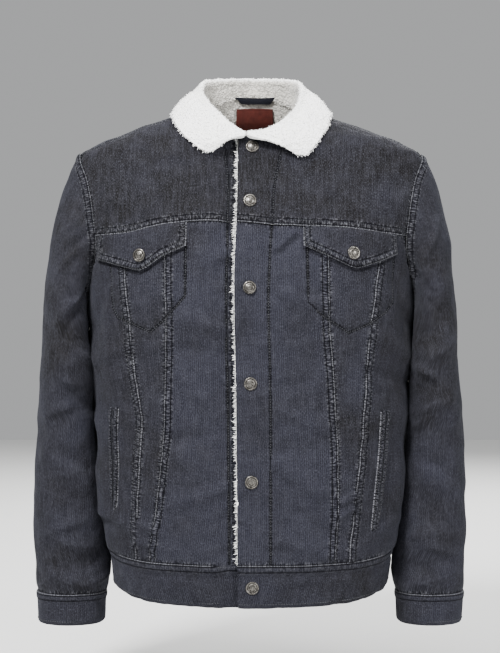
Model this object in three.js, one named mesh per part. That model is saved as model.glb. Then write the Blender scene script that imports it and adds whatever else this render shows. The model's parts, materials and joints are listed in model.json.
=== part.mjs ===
import * as THREE from "three";

// A pile-lined corduroy jacket, buttoned and rounded out as if worn, with nothing inside it.
// Millimetres, Z up. The front faces -Y and the wearer's left is +X.
// The origin is the middle of the neck, level with the points where neck and shoulders meet.

// Walls and gaps
const SEAM_GAP = 0.4;
const CLOTH_WALL = 2.2;
const BAND_WALL = 3.2;
const COLLAR_WALL = 4.8;
const PILE_WALL = 4;
const PILE_EDGE_WALL = 2.4;
const TRIM_LIFT = 0.9;
const PATCH_LIFT = 2.9;
const FLAP_WALL = 2;
const WELT_WALL = 1.6;
const NECK_PATCH_WALL = 1.2;
const LINING_LIFT = CLOTH_WALL + 0.5;
const EDGE_PILE_LIFT = CLOTH_WALL + 0.4;
const LAP_DEPTH = EDGE_PILE_LIFT + PILE_EDGE_WALL + 0.8;
const BAND_LIFT = 0.5;
const BUTTON_SEAT = 0.25;

// Grid sizes
const BODY_ROWS = 12;
const YOKE_ROWS = 6;
const LINING_FIRST_ROW = 3;
const CAP_ROWS = 7;
const SLEEVE_ROWS = 14;
const COLLAR_COLUMNS = 38;

// Half width and depths of the body at each height. Depths are from the shoulder line.
const SECTION_POWER = 2.5;
const bodyRows = [
  { z: 36, half: 54, front: 30, back: 63 },
  { z: 15, half: 68, front: 38, back: 68 },
  { z: 0, half: 78, front: 46, back: 72 },
  { z: -7.5, half: 107, front: 53, back: 77 },
  { z: -14, half: 129, front: 59, back: 81 },
  { z: -21, half: 148, front: 66, back: 85 },
  { z: -33, half: 178, front: 77, back: 91 },
  { z: -41, half: 200, front: 85, back: 96 },
  { z: -51, half: 221, front: 91, back: 101 },
  { z: -58, half: 233, front: 93.5, back: 104 },
  { z: -80, half: 239, front: 100, back: 109 },
  { z: -110, half: 239, front: 109, back: 116 },
  { z: -150, half: 235, front: 120, back: 123 },
  { z: -200, half: 225, front: 130, back: 126 },
  { z: -290, half: 222, front: 136, back: 121 },
  { z: -393, half: 211, front: 136, back: 112 },
  { z: -461, half: 207, front: 135, back: 111 },
  { z: -530, half: 201, front: 134, back: 114 },
  { z: -570, half: 195, front: 132.5, back: 116 },
  { z: -603, half: 190, front: 131, back: 118 },
  { z: -639, half: 185, front: 128, back: 118 },
  { z: -660, half: 178, front: 126, back: 117 },
];

// The neckline from centre front to centre back, on one side.
const neckRows = [
  { x: 0, z: -44, back: false },
  { x: 26, z: -38, back: false },
  { x: 48, z: -26, back: false },
  { x: 64, z: -13, back: false },
  { x: 76.5, z: -3.5, back: false },
  { x: 78, z: 0, back: true },
  { x: 66, z: 10.5, back: true },
  { x: 52, z: 18.6, back: true },
  { x: 36, z: 26, back: true },
  { x: 18, z: 31.2, back: true },
  { x: 0, z: 33, back: true },
];
const SHOULDER_ROW = 4;

// The armhole, once round from the shoulder seam down the front. Angle 0 is centre front, 180 back.
const armholeRows = [
  { angle: 79, z: -61 },
  { angle: 72.5, z: -70.5 },
  { angle: 66.5, z: -85 },
  { angle: 62.5, z: -101 },
  { angle: 60, z: -122 },
  { angle: 59.4, z: -147 },
  { angle: 60.2, z: -172 },
  { angle: 64.5, z: -199 },
  { angle: 70.5, z: -226 },
  { angle: 77, z: -251 },
  { angle: 83.5, z: -271 },
  { angle: 90, z: -280 },
  { angle: 97.5, z: -274.5 },
  { angle: 104, z: -256 },
  { angle: 109.5, z: -232 },
  { angle: 114.5, z: -204 },
  { angle: 118, z: -176 },
  { angle: 119, z: -150 },
  { angle: 118, z: -124 },
  { angle: 115.5, z: -101 },
  { angle: 111, z: -83 },
  { angle: 104.5, z: -69.5 },
  { angle: 96.5, z: -60.5 },
  { angle: 88, z: -57.5 },
];
const FRONT_YOKE_CORNER = 6;
const UNDERARM = 11;
const BACK_YOKE_CORNER = 17;

// Seams of the body, by place across the front or by angle round it.
const yokeSeamRows = [
  { x: -206, z: -172 },
  { x: -167, z: -170 },
  { x: -132, z: -163 },
  { x: -104, z: -158 },
  { x: -62, z: -155 },
  { x: -20, z: -156 },
  { x: 27, z: -160 },
  { x: 66, z: -161.5 },
  { x: 110, z: -163 },
  { x: 138, z: -165 },
  { x: 169, z: -169 },
  { x: 206, z: -172 },
];
const waistSeamRows = [
  { angle: 0, z: -600 },
  { angle: 35, z: -599 },
  { angle: 55, z: -596 },
  { angle: 75, z: -591 },
  { angle: 90, z: -588 },
  { angle: 180, z: -590 },
];
const hemRows = [
  { angle: 0, z: -656 },
  { angle: 35, z: -653.5 },
  { angle: 50, z: -650 },
  { angle: 65, z: -645 },
  { angle: 90, z: -639 },
  { angle: 180, z: -643 },
];
const frontEdgeRows = [
  { z: -660, x: -17 },
  { z: -400, x: -19 },
  { z: -240, x: -21.8 },
  { z: -120, x: -18 },
  { z: -30, x: -17 },
];
const veeSeamRows = [
  { z: -600, rightOuter: 150.5, rightInner: 133.5, leftInner: 108.7, leftOuter: 126 },
  { z: -520, rightOuter: 147.4, rightInner: 122.5, leftInner: 112.3, leftOuter: 134.4 },
  { z: -465, rightOuter: 144.5, rightInner: 116, leftInner: 112, leftOuter: 140.8 },
  { z: -412, rightOuter: 141.5, rightInner: 111.5, leftInner: 109, leftOuter: 145.6 },
  { z: -350, rightOuter: 151.3, rightInner: 110.5, leftInner: 106, leftOuter: 149.6 },
  { z: -290, rightOuter: 157.5, rightInner: 110, leftInner: 101.5, leftOuter: 155.5 },
  { z: -221, rightOuter: 164, rightInner: 111.4, leftInner: 100, leftOuter: 165 },
  { z: -150, rightOuter: 174, rightInner: 112, leftInner: 99, leftOuter: 173 },
];

// The right front runs on under the left one, deeper by LAP_DEPTH, as far as LAP_END.
const LAP_END = 16;
const LAP_TURN_IN = -30;
const LAP_TURN_OUT = -52;

// Soft folds of the body: a line from one end to the other, in front or behind, raised or sunk.
const bodyFolds = [
  { x: -214, z: -300, toX: -200, toZ: -392, width: 18, height: -3.5, back: false },
  { x: 214, z: -296, toX: 202, toZ: -380, width: 18, height: -3.5, back: false },
  { x: -60, z: -582, toX: -78, toZ: -470, width: 22, height: 3, back: false },
  { x: 62, z: -584, toX: 84, toZ: -480, width: 22, height: 3, back: false },
  { x: -150, z: -300, toX: -120, toZ: -470, width: 26, height: -5, back: true },
  { x: 150, z: -300, toX: 118, toZ: -480, width: 26, height: -5, back: true },
  { x: -40, z: -360, toX: -62, toZ: -560, width: 24, height: 4, back: true },
  { x: 52, z: -380, toX: 66, toZ: -566, width: 24, height: 4, back: true },
];

// A sleeve is a row of level sections below the arm. Outer and inner are distances from the centre line.
const SLEEVE_POWER = 2.15;
const sleeveRows = [
  { z: -330, outerRight: 284.5, outerLeft: 281, inner: 206, front: -82, back: 76 },
  { z: -393, outerRight: 289, outerLeft: 286, inner: 205, front: -74, back: 64 },
  { z: -434, outerRight: 292.5, outerLeft: 289, inner: 206, front: -69, back: 57 },
  { z: -496, outerRight: 296, outerLeft: 292, inner: 204, front: -63, back: 50 },
  { z: -560, outerRight: 296, outerLeft: 293, inner: 200, front: -58, back: 45 },
  { z: -612, outerRight: 294.5, outerLeft: 291, inner: 196.5, front: -54, back: 43 },
  { z: -640, outerRight: 294, outerLeft: 290.5, inner: 197, front: -52, back: 42 },
  { z: -651.2, outerRight: 292, outerLeft: 289, inner: 198.5, front: -50, back: 40 },
  { z: -695, outerRight: 289.5, outerLeft: 286.5, inner: 200, front: -50, back: 40 },
];
const SLEEVE_TOP = sleeveRows[0].z;
const CUFF_TOP = -651.2;
const CUFF_BOTTOM = -692.5;
const SLEEVE_CLEARANCE = 2.2;

// The way the sleeve head leaves the armhole: round from the top of the shoulder (0) by the front (90).
const sleeveHeadRows = [
  { around: 0, out: 0.62, back: 0, up: -0.78 },
  { around: 90, out: 0.7, back: -0.14, up: -0.7 },
  { around: 180, out: 0.05, back: 0, up: -1 },
  { around: 270, out: 0.7, back: 0.14, up: -0.7 },
  { around: 360, out: 0.62, back: 0, up: -0.78 },
];
const HEAD_REACH = 0.17;
const HEAD_FALL = 0.42;

// Folds of the sleeves. Slope is the drop in height for each degree round, towards the back.
const sleeveFolds = [
  { side: -1, z: -236, around: 128, slope: -1.6, width: 17, spread: 46, height: -6 },
  { side: -1, z: -304, around: 70, slope: 0.5, width: 20, spread: 44, height: -4 },
  { side: -1, z: -384, around: 112, slope: 0.35, width: 15, spread: 42, height: -5 },
  { side: -1, z: -430, around: 60, slope: -0.4, width: 20, spread: 46, height: -3.5 },
  { side: -1, z: -520, around: 96, slope: 0.3, width: 22, spread: 50, height: -3 },
  { side: -1, z: -606, around: 118, slope: -0.25, width: 14, spread: 44, height: -4.5 },
  { side: -1, z: -410, around: 262, slope: 0.3, width: 20, spread: 60, height: -5 },
  { side: -1, z: -352, around: 282, slope: -0.3, width: 20, spread: 50, height: -4 },
  { side: 1, z: -214, around: 120, slope: -1.2, width: 17, spread: 42, height: -5.5 },
  { side: 1, z: -290, around: 82, slope: 0.6, width: 20, spread: 44, height: -4 },
  { side: 1, z: -372, around: 104, slope: 0.4, width: 15, spread: 44, height: -5 },
  { side: 1, z: -446, around: 66, slope: -0.5, width: 22, spread: 42, height: -3.5 },
  { side: 1, z: -536, around: 92, slope: -0.3, width: 22, spread: 50, height: -3 },
  { side: 1, z: -612, around: 84, slope: 0.25, width: 14, spread: 44, height: -4.5 },
  { side: 1, z: -400, around: 268, slope: -0.3, width: 20, spread: 60, height: -5 },
  { side: 1, z: -340, around: 284, slope: 0.3, width: 20, spread: 50, height: -4 },
];

// The collar from its front end (along 0) to centre back (along 1): the top of its roll and its edge.
// An edge place is on the front of the body, or on the back.
const leftCollarRows = [
  { along: 0.0, rollX: -3, rollY: -98, rollZ: -36.5, edgeX: 60, edgeZ: -67.5, back: false },
  { along: 0.05, rollX: 11, rollY: -95, rollZ: -34.5, edgeX: 70, edgeZ: -68.5, back: false },
  { along: 0.11, rollX: 26, rollY: -91, rollZ: -30, edgeX: 77, edgeZ: -62.5, back: false },
  { along: 0.21, rollX: 43, rollY: -77, rollZ: -18, edgeX: 86, edgeZ: -51.5, back: false },
  { along: 0.32, rollX: 57, rollY: -56, rollZ: -3, edgeX: 95, edgeZ: -37.5, back: false },
  { along: 0.43, rollX: 67, rollY: -30, rollZ: 15, edgeX: 102.5, edgeZ: -23, back: false },
  { along: 0.56, rollX: 71, rollY: 2, rollZ: 36, edgeX: 107.5, edgeZ: -4, back: false },
  { along: 0.7, rollX: 66, rollY: 34, rollZ: 50, edgeX: 103, edgeZ: -4, back: true },
  { along: 0.86, rollX: 40, rollY: 58, rollZ: 57, edgeX: 66, edgeZ: -4, back: true },
  { along: 1.0, rollX: 0, rollY: 69, rollZ: 59, edgeX: 0, edgeZ: -2, back: true },
];
const rightCollarRows = [
  { along: 0.0, rollX: 9, rollY: -96, rollZ: -36, edgeX: 46, edgeZ: -60.5, back: false },
  { along: 0.05, rollX: 16, rollY: -93, rollZ: -32, edgeX: 55, edgeZ: -63.5, back: false },
  { along: 0.11, rollX: 24, rollY: -88, rollZ: -26, edgeX: 64, edgeZ: -60.5, back: false },
  { along: 0.21, rollX: 38, rollY: -74, rollZ: -13, edgeX: 78, edgeZ: -49.5, back: false },
  { along: 0.32, rollX: 51, rollY: -54, rollZ: 2, edgeX: 90, edgeZ: -37, back: false },
  { along: 0.43, rollX: 63, rollY: -30, rollZ: 18, edgeX: 99.5, edgeZ: -24, back: false },
  { along: 0.56, rollX: 70.5, rollY: 2, rollZ: 36, edgeX: 107, edgeZ: -4, back: false },
  { along: 0.7, rollX: 66, rollY: 34, rollZ: 50, edgeX: 103, edgeZ: -4, back: true },
  { along: 0.86, rollX: 40, rollY: 58, rollZ: 57, edgeX: 66, edgeZ: -4, back: true },
  { along: 1.0, rollX: 0, rollY: 69, rollZ: 59, edgeX: 0, edgeZ: -2, back: true },
];
const ROLL_RADIUS = 6;
const COLLAR_SEAT = 0.8;
const COLLAR_BULGE = 9;
const COLLAR_REST = COLLAR_WALL + 1.4;

// Chest flaps, by place across the front: the lower edge and the point.
const leftFlapRows = [
  { x: 67.5, z: -188 },
  { x: 102, z: -202.5 },
  { x: 126, z: -214 },
  { x: 134.8, z: -216.5 },
  { x: 144, z: -215 },
  { x: 166, z: -208 },
  { x: 191, z: -197 },
];
const rightFlapRows = [
  { x: -201, z: -204 },
  { x: -169, z: -213.5 },
  { x: -152, z: -218.5 },
  { x: -143.8, z: -219.8 },
  { x: -135, z: -216 },
  { x: -113.6, z: -201 },
  { x: -83.5, z: -188 },
];
const FLAP_TOP_DROP = 1.5;
const FLAP_ROWS = 3;
const FLAP_COLUMN_WIDTH = 13;

// Hand pocket welts: the strip between an inner and an outer edge.
const leftWeltRows = [
  { z: -402, inner: 169, outer: 182 },
  { z: -450, inner: 166.5, outer: 179 },
  { z: -492, inner: 162.5, outer: 175 },
  { z: -532, inner: 158.5, outer: 169.5 },
  { z: -560, inner: 155.5, outer: 164.5 },
];
const rightWeltRows = [
  { z: -398, inner: 173, outer: 188 },
  { z: -440, inner: 173, outer: 187 },
  { z: -476, inner: 172, outer: 185.5 },
  { z: -512, inner: 173.5, outer: 185.5 },
  { z: -551, inner: 178, outer: 186 },
];

// Buttons
const frontButtonRows = [
  { x: 1.5, z: -56.6 },
  { x: -1.5, z: -129 },
  { x: -2, z: -242 },
  { x: -0.8, z: -365.5 },
  { x: 0.5, z: -492 },
  { x: 1.5, z: -628 },
];
const leftFlapButton = { x: 131.5, z: -197 };
const rightFlapButton = { x: -143.5, z: -200 };
const buttonProfile = [
  { radius: 0, height: 0 },
  { radius: 6.4, height: 0 },
  { radius: 8.4, height: 1.1 },
  { radius: 8.1, height: 2.5 },
  { radius: 6.3, height: 2.7 },
  { radius: 5.2, height: 3.4 },
  { radius: 0, height: 4.2 },
];
const BUTTON_SIDES = 16;

// Things in the neck. The loop and the patch sit a little to the wearer's left, as worn in.
const LOOP_LEFT = 35;
const LOOP_RIGHT = -21;
const LOOP_TOP = 29;
const LOOP_SAG = 6;
const LOOP_WIDTH = 5.5;
const LOOP_WALL = 1.6;
const PATCH_LEFT = 33.5;
const PATCH_RIGHT = -21.5;
const PATCH_TOP = 13.5;
const PATCH_BOTTOM = -25;

const materials = {
  corduroy: { color: 0x3e424c, roughness: 0.9, metalness: 0 },
  pile: { color: 0xe9e6e0, roughness: 1, metalness: 0 },
  leather: { color: 0x6a4a38, roughness: 0.6, metalness: 0 },
  tape: { color: 0x1d2028, roughness: 0.8, metalness: 0 },
  button: { color: 0x6d675e, roughness: 0.45, metalness: 0.9 },
};

// A smooth curve through the rows of a table that never overshoots a row.
function curveThrough(rows, across, value) {
  const sorted = [...rows].sort((a, b) => a[across] - b[across]);
  const x = sorted.map((row) => row[across]);
  const y = sorted.map((row) => row[value]);
  const last = x.length - 1;
  const rise = y.slice(1).map((v, i) => (v - y[i]) / (x[i + 1] - x[i]));
  const slope = y.map((v, i) => {
    if (i === 0 || i === last) return rise[Math.min(i, last - 1)];
    if (rise[i - 1] * rise[i] <= 0) return 0;
    return (2 * rise[i - 1] * rise[i]) / (rise[i - 1] + rise[i]);
  });
  return (at) => {
    if (at <= x[0]) return y[0];
    if (at >= x[last]) return y[last];
    const i = x.findIndex((v) => v > at) - 1;
    const span = x[i + 1] - x[i];
    const t = (at - x[i]) / span;
    const upTo = t * t * (3 - 2 * t);
    const easeIn = t * (1 - t) * (1 - t) * span * slope[i];
    const easeOut = t * t * (t - 1) * span * slope[i + 1];
    return y[i] * (1 - upTo) + y[i + 1] * upTo + easeIn + easeOut;
  };
}

const halfWidthAt = curveThrough(bodyRows, "z", "half");
const frontDepthAt = curveThrough(bodyRows, "z", "front");
const backDepthAt = curveThrough(bodyRows, "z", "back");
const yokeSeamAt = curveThrough(yokeSeamRows, "x", "z");
const frontEdgeAt = curveThrough(frontEdgeRows, "z", "x");
const waistByAngle = curveThrough(waistSeamRows, "angle", "z");
const hemByAngle = curveThrough(hemRows, "angle", "z");

const radians = THREE.MathUtils.degToRad;
const degrees = THREE.MathUtils.radToDeg;

function lerp(a, b, t) {
  return a + (b - a) * t;
}

function evenly(from, to, steps) {
  return Array.from({ length: steps + 1 }, (_, i) => lerp(from, to, i / steps));
}

function signedPower(value, power) {
  return Math.sign(value) * Math.abs(value) ** power;
}

// How far a point is outside the body: 1 is on its surface.
function bodyField(x, y, z) {
  const depth = y < 0 ? frontDepthAt(z) : backDepthAt(z);
  return Math.abs(x / halfWidthAt(z)) ** SECTION_POWER + Math.abs(y / depth) ** SECTION_POWER;
}

function bodyNormal(p) {
  const step = 0.5;
  return new THREE.Vector3(
    bodyField(p.x + step, p.y, p.z) - bodyField(p.x - step, p.y, p.z),
    bodyField(p.x, p.y + step, p.z) - bodyField(p.x, p.y - step, p.z),
    bodyField(p.x, p.y, p.z + step) - bodyField(p.x, p.y, p.z - step),
  ).normalize();
}

// The height of all the folds at a place on the body.
function foldHeight(x, z, back) {
  return bodyFolds.reduce((sum, fold) => {
    if (fold.back !== back) return sum;
    const dx = fold.toX - fold.x;
    const dz = fold.toZ - fold.z;
    const t = THREE.MathUtils.clamp(
      ((x - fold.x) * dx + (z - fold.z) * dz) / (dx * dx + dz * dz), 0, 1);
    const away = Math.hypot(x - fold.x - t * dx, z - fold.z - t * dz) / fold.width;
    return sum + fold.height * Math.exp(-away * away);
  }, 0);
}

// A point of the body at an angle round it, in radians, moved out along its normal.
function bodyPoint(angle, z, out = 0) {
  const side = Math.sin(angle);
  const fore = Math.cos(angle);
  const depth = fore > 0 ? frontDepthAt(z) : backDepthAt(z);
  const point = new THREE.Vector3(
    halfWidthAt(z) * signedPower(side, 2 / SECTION_POWER),
    -depth * signedPower(fore, 2 / SECTION_POWER),
    z,
  );
  const fold = foldHeight(point.x, z, fore < 0);
  return point.addScaledVector(bodyNormal(point), out + fold);
}

// The angle round the body of a place across its front or back.
function angleAt(x, z, back = false) {
  const share = Math.min(1, Math.abs(x) / halfWidthAt(z));
  const angle = Math.asin(share ** (SECTION_POWER / 2));
  const fromFront = back ? Math.PI - angle : angle;
  return x < 0 ? -fromFront : fromFront;
}

function placeAt(x, z, back = false) {
  return new THREE.Vector2(angleAt(x, z, back), z);
}

// The height of the shoulder line above a place across the body.
function ridgeHeight(x) {
  let low = -80;
  let high = bodyRows[0].z;
  if (Math.abs(x) <= bodyRows[0].half) return high;
  for (let i = 0; i < 40; i++) {
    const middle = (low + high) / 2;
    if (halfWidthAt(middle) > Math.abs(x)) low = middle;
    else high = middle;
  }
  return low;
}

// Over the shoulders a place is held as its distance across and its way over the ridge,
// which is below zero in front and above it behind.
function overShoulder(place) {
  const flat = bodyPoint(place.x, place.y);
  const drop = Math.max(0, ridgeHeight(flat.x) - place.y);
  const back = Math.cos(place.x) < 0;
  return new THREE.Vector2(flat.x, back ? Math.sqrt(drop) : -Math.sqrt(drop));
}

function shoulderPoint(x, over, out = 0) {
  const z = ridgeHeight(x) - over * over;
  return bodyPoint(angleAt(x, z, over > 0), z, out);
}

// Blends four edges of places into a grid of places, row by row.
function blendEdges({ bottom, top, left, right }) {
  const columns = bottom.length - 1;
  const rows = left.length - 1;
  return left.map((start, j) => {
    const v = j / rows;
    return bottom.map((low, i) => {
      const u = i / columns;
      const across = (key) => {
        const edges = (1 - v) * low[key] + v * top[i][key] +
          (1 - u) * start[key] + u * right[j][key];
        const lower = lerp(bottom[0][key], bottom[columns][key], u);
        const upper = lerp(top[0][key], top[columns][key], u);
        return edges - lerp(lower, upper, v);
      };
      return new THREE.Vector2(across("x"), across("y"));
    });
  });
}

// Moves the rim of a grid of points inwards by half a seam's gap.
function pullBack(grid, wraps) {
  const half = SEAM_GAP / 2;
  const moved = grid.map((row) => row.map((p) => p.clone()));
  const rows = grid.length - 1;
  const columns = grid[0].length - 1;
  const towards = (j, i, jn, inn) => {
    const way = grid[jn][inn].clone().sub(grid[j][i]).normalize();
    moved[j][i].addScaledVector(way, half);
  };
  for (let i = 0; i <= columns; i++) {
    towards(0, i, 1, i);
    towards(rows, i, rows - 1, i);
  }
  for (let j = 0; j <= rows && !wraps; j++) {
    towards(j, 0, j, 1);
    towards(j, columns, j, columns - 1);
  }
  return moved;
}

// A closed wall between two grids of points. A wrapping grid is a tube, open at both ends.
function wallBetween(outer, inner, wraps = false) {
  const rows = outer.length;
  const columns = outer[0].length;
  const positions = [...outer.flat(), ...inner.flat()].flatMap((p) => [p.x, p.y, p.z]);
  const index = [];
  const at = (layer, j, i) => layer * rows * columns + j * columns + (i % columns);
  const quad = (a, b, c, d) => index.push(a, b, c, a, c, d);
  const last = wraps ? columns : columns - 1;
  for (let j = 0; j < rows - 1; j++) {
    for (let i = 0; i < last; i++) {
      quad(at(0, j, i), at(0, j, i + 1), at(0, j + 1, i + 1), at(0, j + 1, i));
      quad(at(1, j, i), at(1, j + 1, i), at(1, j + 1, i + 1), at(1, j, i + 1));
    }
  }
  for (let i = 0; i < last; i++) {
    quad(at(0, 0, i), at(1, 0, i), at(1, 0, i + 1), at(0, 0, i + 1));
    quad(at(0, rows - 1, i), at(0, rows - 1, i + 1), at(1, rows - 1, i + 1), at(1, rows - 1, i));
  }
  for (let j = 0; j < rows - 1 && !wraps; j++) {
    const end = columns - 1;
    quad(at(0, j, 0), at(0, j + 1, 0), at(1, j + 1, 0), at(1, j, 0));
    quad(at(0, j, end), at(1, j, end), at(1, j + 1, end), at(0, j + 1, end));
  }
  return outwardGeometry(positions, index);
}

function outwardGeometry(positions, index) {
  const corner = (n) => new THREE.Vector3().fromArray(positions, index[n] * 3);
  let volume = 0;
  for (let n = 0; n < index.length; n += 3) {
    volume += corner(n).dot(corner(n + 1).cross(corner(n + 2)));
  }
  if (volume < 0) index.reverse();
  const geometry = new THREE.BufferGeometry();
  geometry.setAttribute("position", new THREE.Float32BufferAttribute(positions, 3));
  geometry.setIndex(index);
  geometry.computeVertexNormals();
  return geometry;
}

// A wall on the body or over the shoulders, from a grid of places.
function sewnWall(places, toPoint, lift, wall) {
  const layer = (out) => pullBack(places.map((row) => row.map((p) => toPoint(p.x, p.y, out))), false);
  return wallBetween(layer(lift), layer(lift - wall));
}

const jacket = new THREE.Group();
jacket.name = "sherpa_lined_jacket";

function addPiece(name, geometry, material) {
  const mesh = new THREE.Mesh(geometry, new THREE.MeshStandardMaterial(materials[material]));
  mesh.name = name;
  jacket.add(mesh);
  return mesh;
}

// How deep the right front lies at a place across: it turns in under the left front.
function lapDepth(x) {
  const t = THREE.MathUtils.clamp((x - LAP_TURN_OUT) / (LAP_TURN_IN - LAP_TURN_OUT), 0, 1);
  return LAP_DEPTH * t;
}

function lappedBodyPoint(angle, z, out) {
  return bodyPoint(angle, z, out - lapDepth(bodyPoint(angle, z).x));
}

function lappedShoulderPoint(x, over, out) {
  const z = ridgeHeight(x) - over * over;
  return lappedBodyPoint(angleAt(x, z, over > 0), z, out);
}

// The seams of one front, as places. Side is 1 for the wearer's left and -1 for the right.
function frontSeams(side) {
  const name = side > 0 ? "left" : "right";
  const inner = curveThrough(veeSeamRows, "z", name + "Inner");
  const outer = curveThrough(veeSeamRows, "z", name + "Outer");
  const waistAt = (x, z) => waistByAngle(Math.abs(degrees(angleAt(x, z))));
  const line = (xAt) => {
    const foot = waistAt(xAt(-600), -600);
    const head = yokeSeamAt(xAt(-165));
    return evenly(foot, head, BODY_ROWS).map((z) => placeAt(xAt(z), z));
  };
  const start = side > 0 ? frontEdgeAt : () => LAP_END;
  const armhole = armholeRows.map((row) => new THREE.Vector2(side * radians(row.angle), row.z));
  return {
    waistAt,
    armhole,
    edge: line(start),
    inner: line((z) => side * inner(z)),
    outer: line((z) => side * outer(z)),
    sideSeam: evenly(waistByAngle(90), armholeRows[UNDERARM].z, BODY_ROWS)
      .map((z) => new THREE.Vector2((side * Math.PI) / 2, z)),
  };
}

// Places across the front between two places, on the yoke seam or the waist seam.
function acrossKnots(from, to, steps) {
  return evenly(bodyPoint(from.x, from.y).x, bodyPoint(to.x, to.y).x, steps);
}

// The knots of the right front's centre panel: its end under the lap, and the two turns of the lap.
function centreKnots(side, from, to) {
  if (side > 0) return acrossKnots(from, to, 5);
  const end = bodyPoint(to.x, to.y).x;
  return [LAP_END, -8, LAP_TURN_IN, LAP_TURN_OUT, (LAP_TURN_OUT + end) / 2, end];
}

function alongYoke(knots) {
  return knots.map((x) => placeAt(x, yokeSeamAt(x)));
}

function alongWaist(knots, seams) {
  return knots.map((x) => placeAt(x, seams.waistAt(x, -600)));
}

function withEnds(places, first, last) {
  return [first, ...places.slice(1, -1), last];
}

function buildFront(side) {
  const name = side > 0 ? "left" : "right";
  const seams = frontSeams(side);
  const toPoint = side > 0 ? bodyPoint : lappedBodyPoint;
  const top = BODY_ROWS;
  const { edge, inner, outer, sideSeam, armhole } = seams;

  const centreTop = withEnds(alongYoke(centreKnots(side, edge[top], inner[top])), edge[top], inner[top]);
  const centreBottom = withEnds(alongWaist(centreKnots(side, edge[0], inner[0]), seams), edge[0], inner[0]);
  const centre = blendEdges({ bottom: centreBottom, top: centreTop, left: edge, right: inner });
  addPiece(`front_centre_${name}`, sewnWall(centre, toPoint, 0, CLOTH_WALL), "corduroy");

  const middleTop = withEnds(alongYoke(acrossKnots(inner[top], outer[top], 2)), inner[top], outer[top]);
  const middleBottom = withEnds(
    alongWaist(acrossKnots(inner[0], outer[0], 2), seams), inner[0], outer[0]);
  const middle = blendEdges({ bottom: middleBottom, top: middleTop, left: inner, right: outer });
  addPiece(`front_middle_${name}`, sewnWall(middle, toPoint, 0, CLOTH_WALL), "corduroy");

  const corner = armhole[FRONT_YOKE_CORNER];
  const yokePart = withEnds(alongYoke(acrossKnots(outer[top], corner, 2)), outer[top], corner);
  const sideTop = [...yokePart, ...armhole.slice(FRONT_YOKE_CORNER + 1, UNDERARM + 1)];
  const sideBottom = evenly(outer[0].x, (side * Math.PI) / 2, sideTop.length - 1)
    .map((angle) => new THREE.Vector2(angle, waistByAngle(Math.abs(degrees(angle)))));
  const sidePanel = blendEdges({
    bottom: withEnds(sideBottom, outer[0], sideSeam[0]),
    top: sideTop,
    left: outer,
    right: sideSeam,
  });
  addPiece(`front_side_${name}`, sewnWall(sidePanel, toPoint, 0, CLOTH_WALL), "corduroy");

  const yokeBottom = [...centreTop, ...middleTop.slice(1), ...yokePart.slice(1)].map(overShoulder);
  buildFrontYoke(side, yokeBottom, armhole);
}

// The neckline's front knots on one side, out from the front edge to the shoulder seam.
function frontNeckKnots(side) {
  const neckAt = curveThrough(neckRows.filter((row) => !row.back), "x", "z");
  const end = neckRows[SHOULDER_ROW].x;
  const xs = side > 0 ? [frontEdgeAt(-44), 4, 26, 48, 64, end]
    : [LAP_END, -8, LAP_TURN_IN, LAP_TURN_OUT, -66, -end];
  return xs.map((x) => placeAt(x, neckAt(Math.abs(x))));
}

const SHOULDER_STEPS = 4;

function shoulderSeam(side) {
  const atNeck = overShoulder(placeAt(side * neckRows[SHOULDER_ROW].x, neckRows[SHOULDER_ROW].z));
  const row = armholeRows[0];
  const atArm = overShoulder(new THREE.Vector2(side * radians(row.angle), row.z));
  return evenly(0, 1, SHOULDER_STEPS).map((t) => atNeck.clone().lerp(atArm, t));
}

function buildFrontYoke(side, bottom, armhole) {
  const name = side > 0 ? "left" : "right";
  const neck = frontNeckKnots(side).map(overShoulder);
  const top = [...neck.slice(0, -1), ...shoulderSeam(side)];
  const right = armhole.slice(0, FRONT_YOKE_CORNER + 1).reverse().map(overShoulder);
  const left = evenly(0, 1, YOKE_ROWS).map((t) => {
    const across = side > 0 ? frontEdgeAt(lerp(-156, -44, t)) : LAP_END;
    return new THREE.Vector2(across, lerp(bottom[0].y, neck[0].y, t));
  });
  const places = blendEdges({
    bottom,
    top: withEnds(top, neck[0], right[YOKE_ROWS]),
    left: withEnds(left, bottom[0], neck[0]),
    right: withEnds(right, bottom[bottom.length - 1], right[YOKE_ROWS]),
  });
  const toPoint = side > 0 ? shoulderPoint : lappedShoulderPoint;
  addPiece(`front_yoke_${name}`, sewnWall(places, toPoint, 0, CLOTH_WALL), "corduroy");
}

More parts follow.
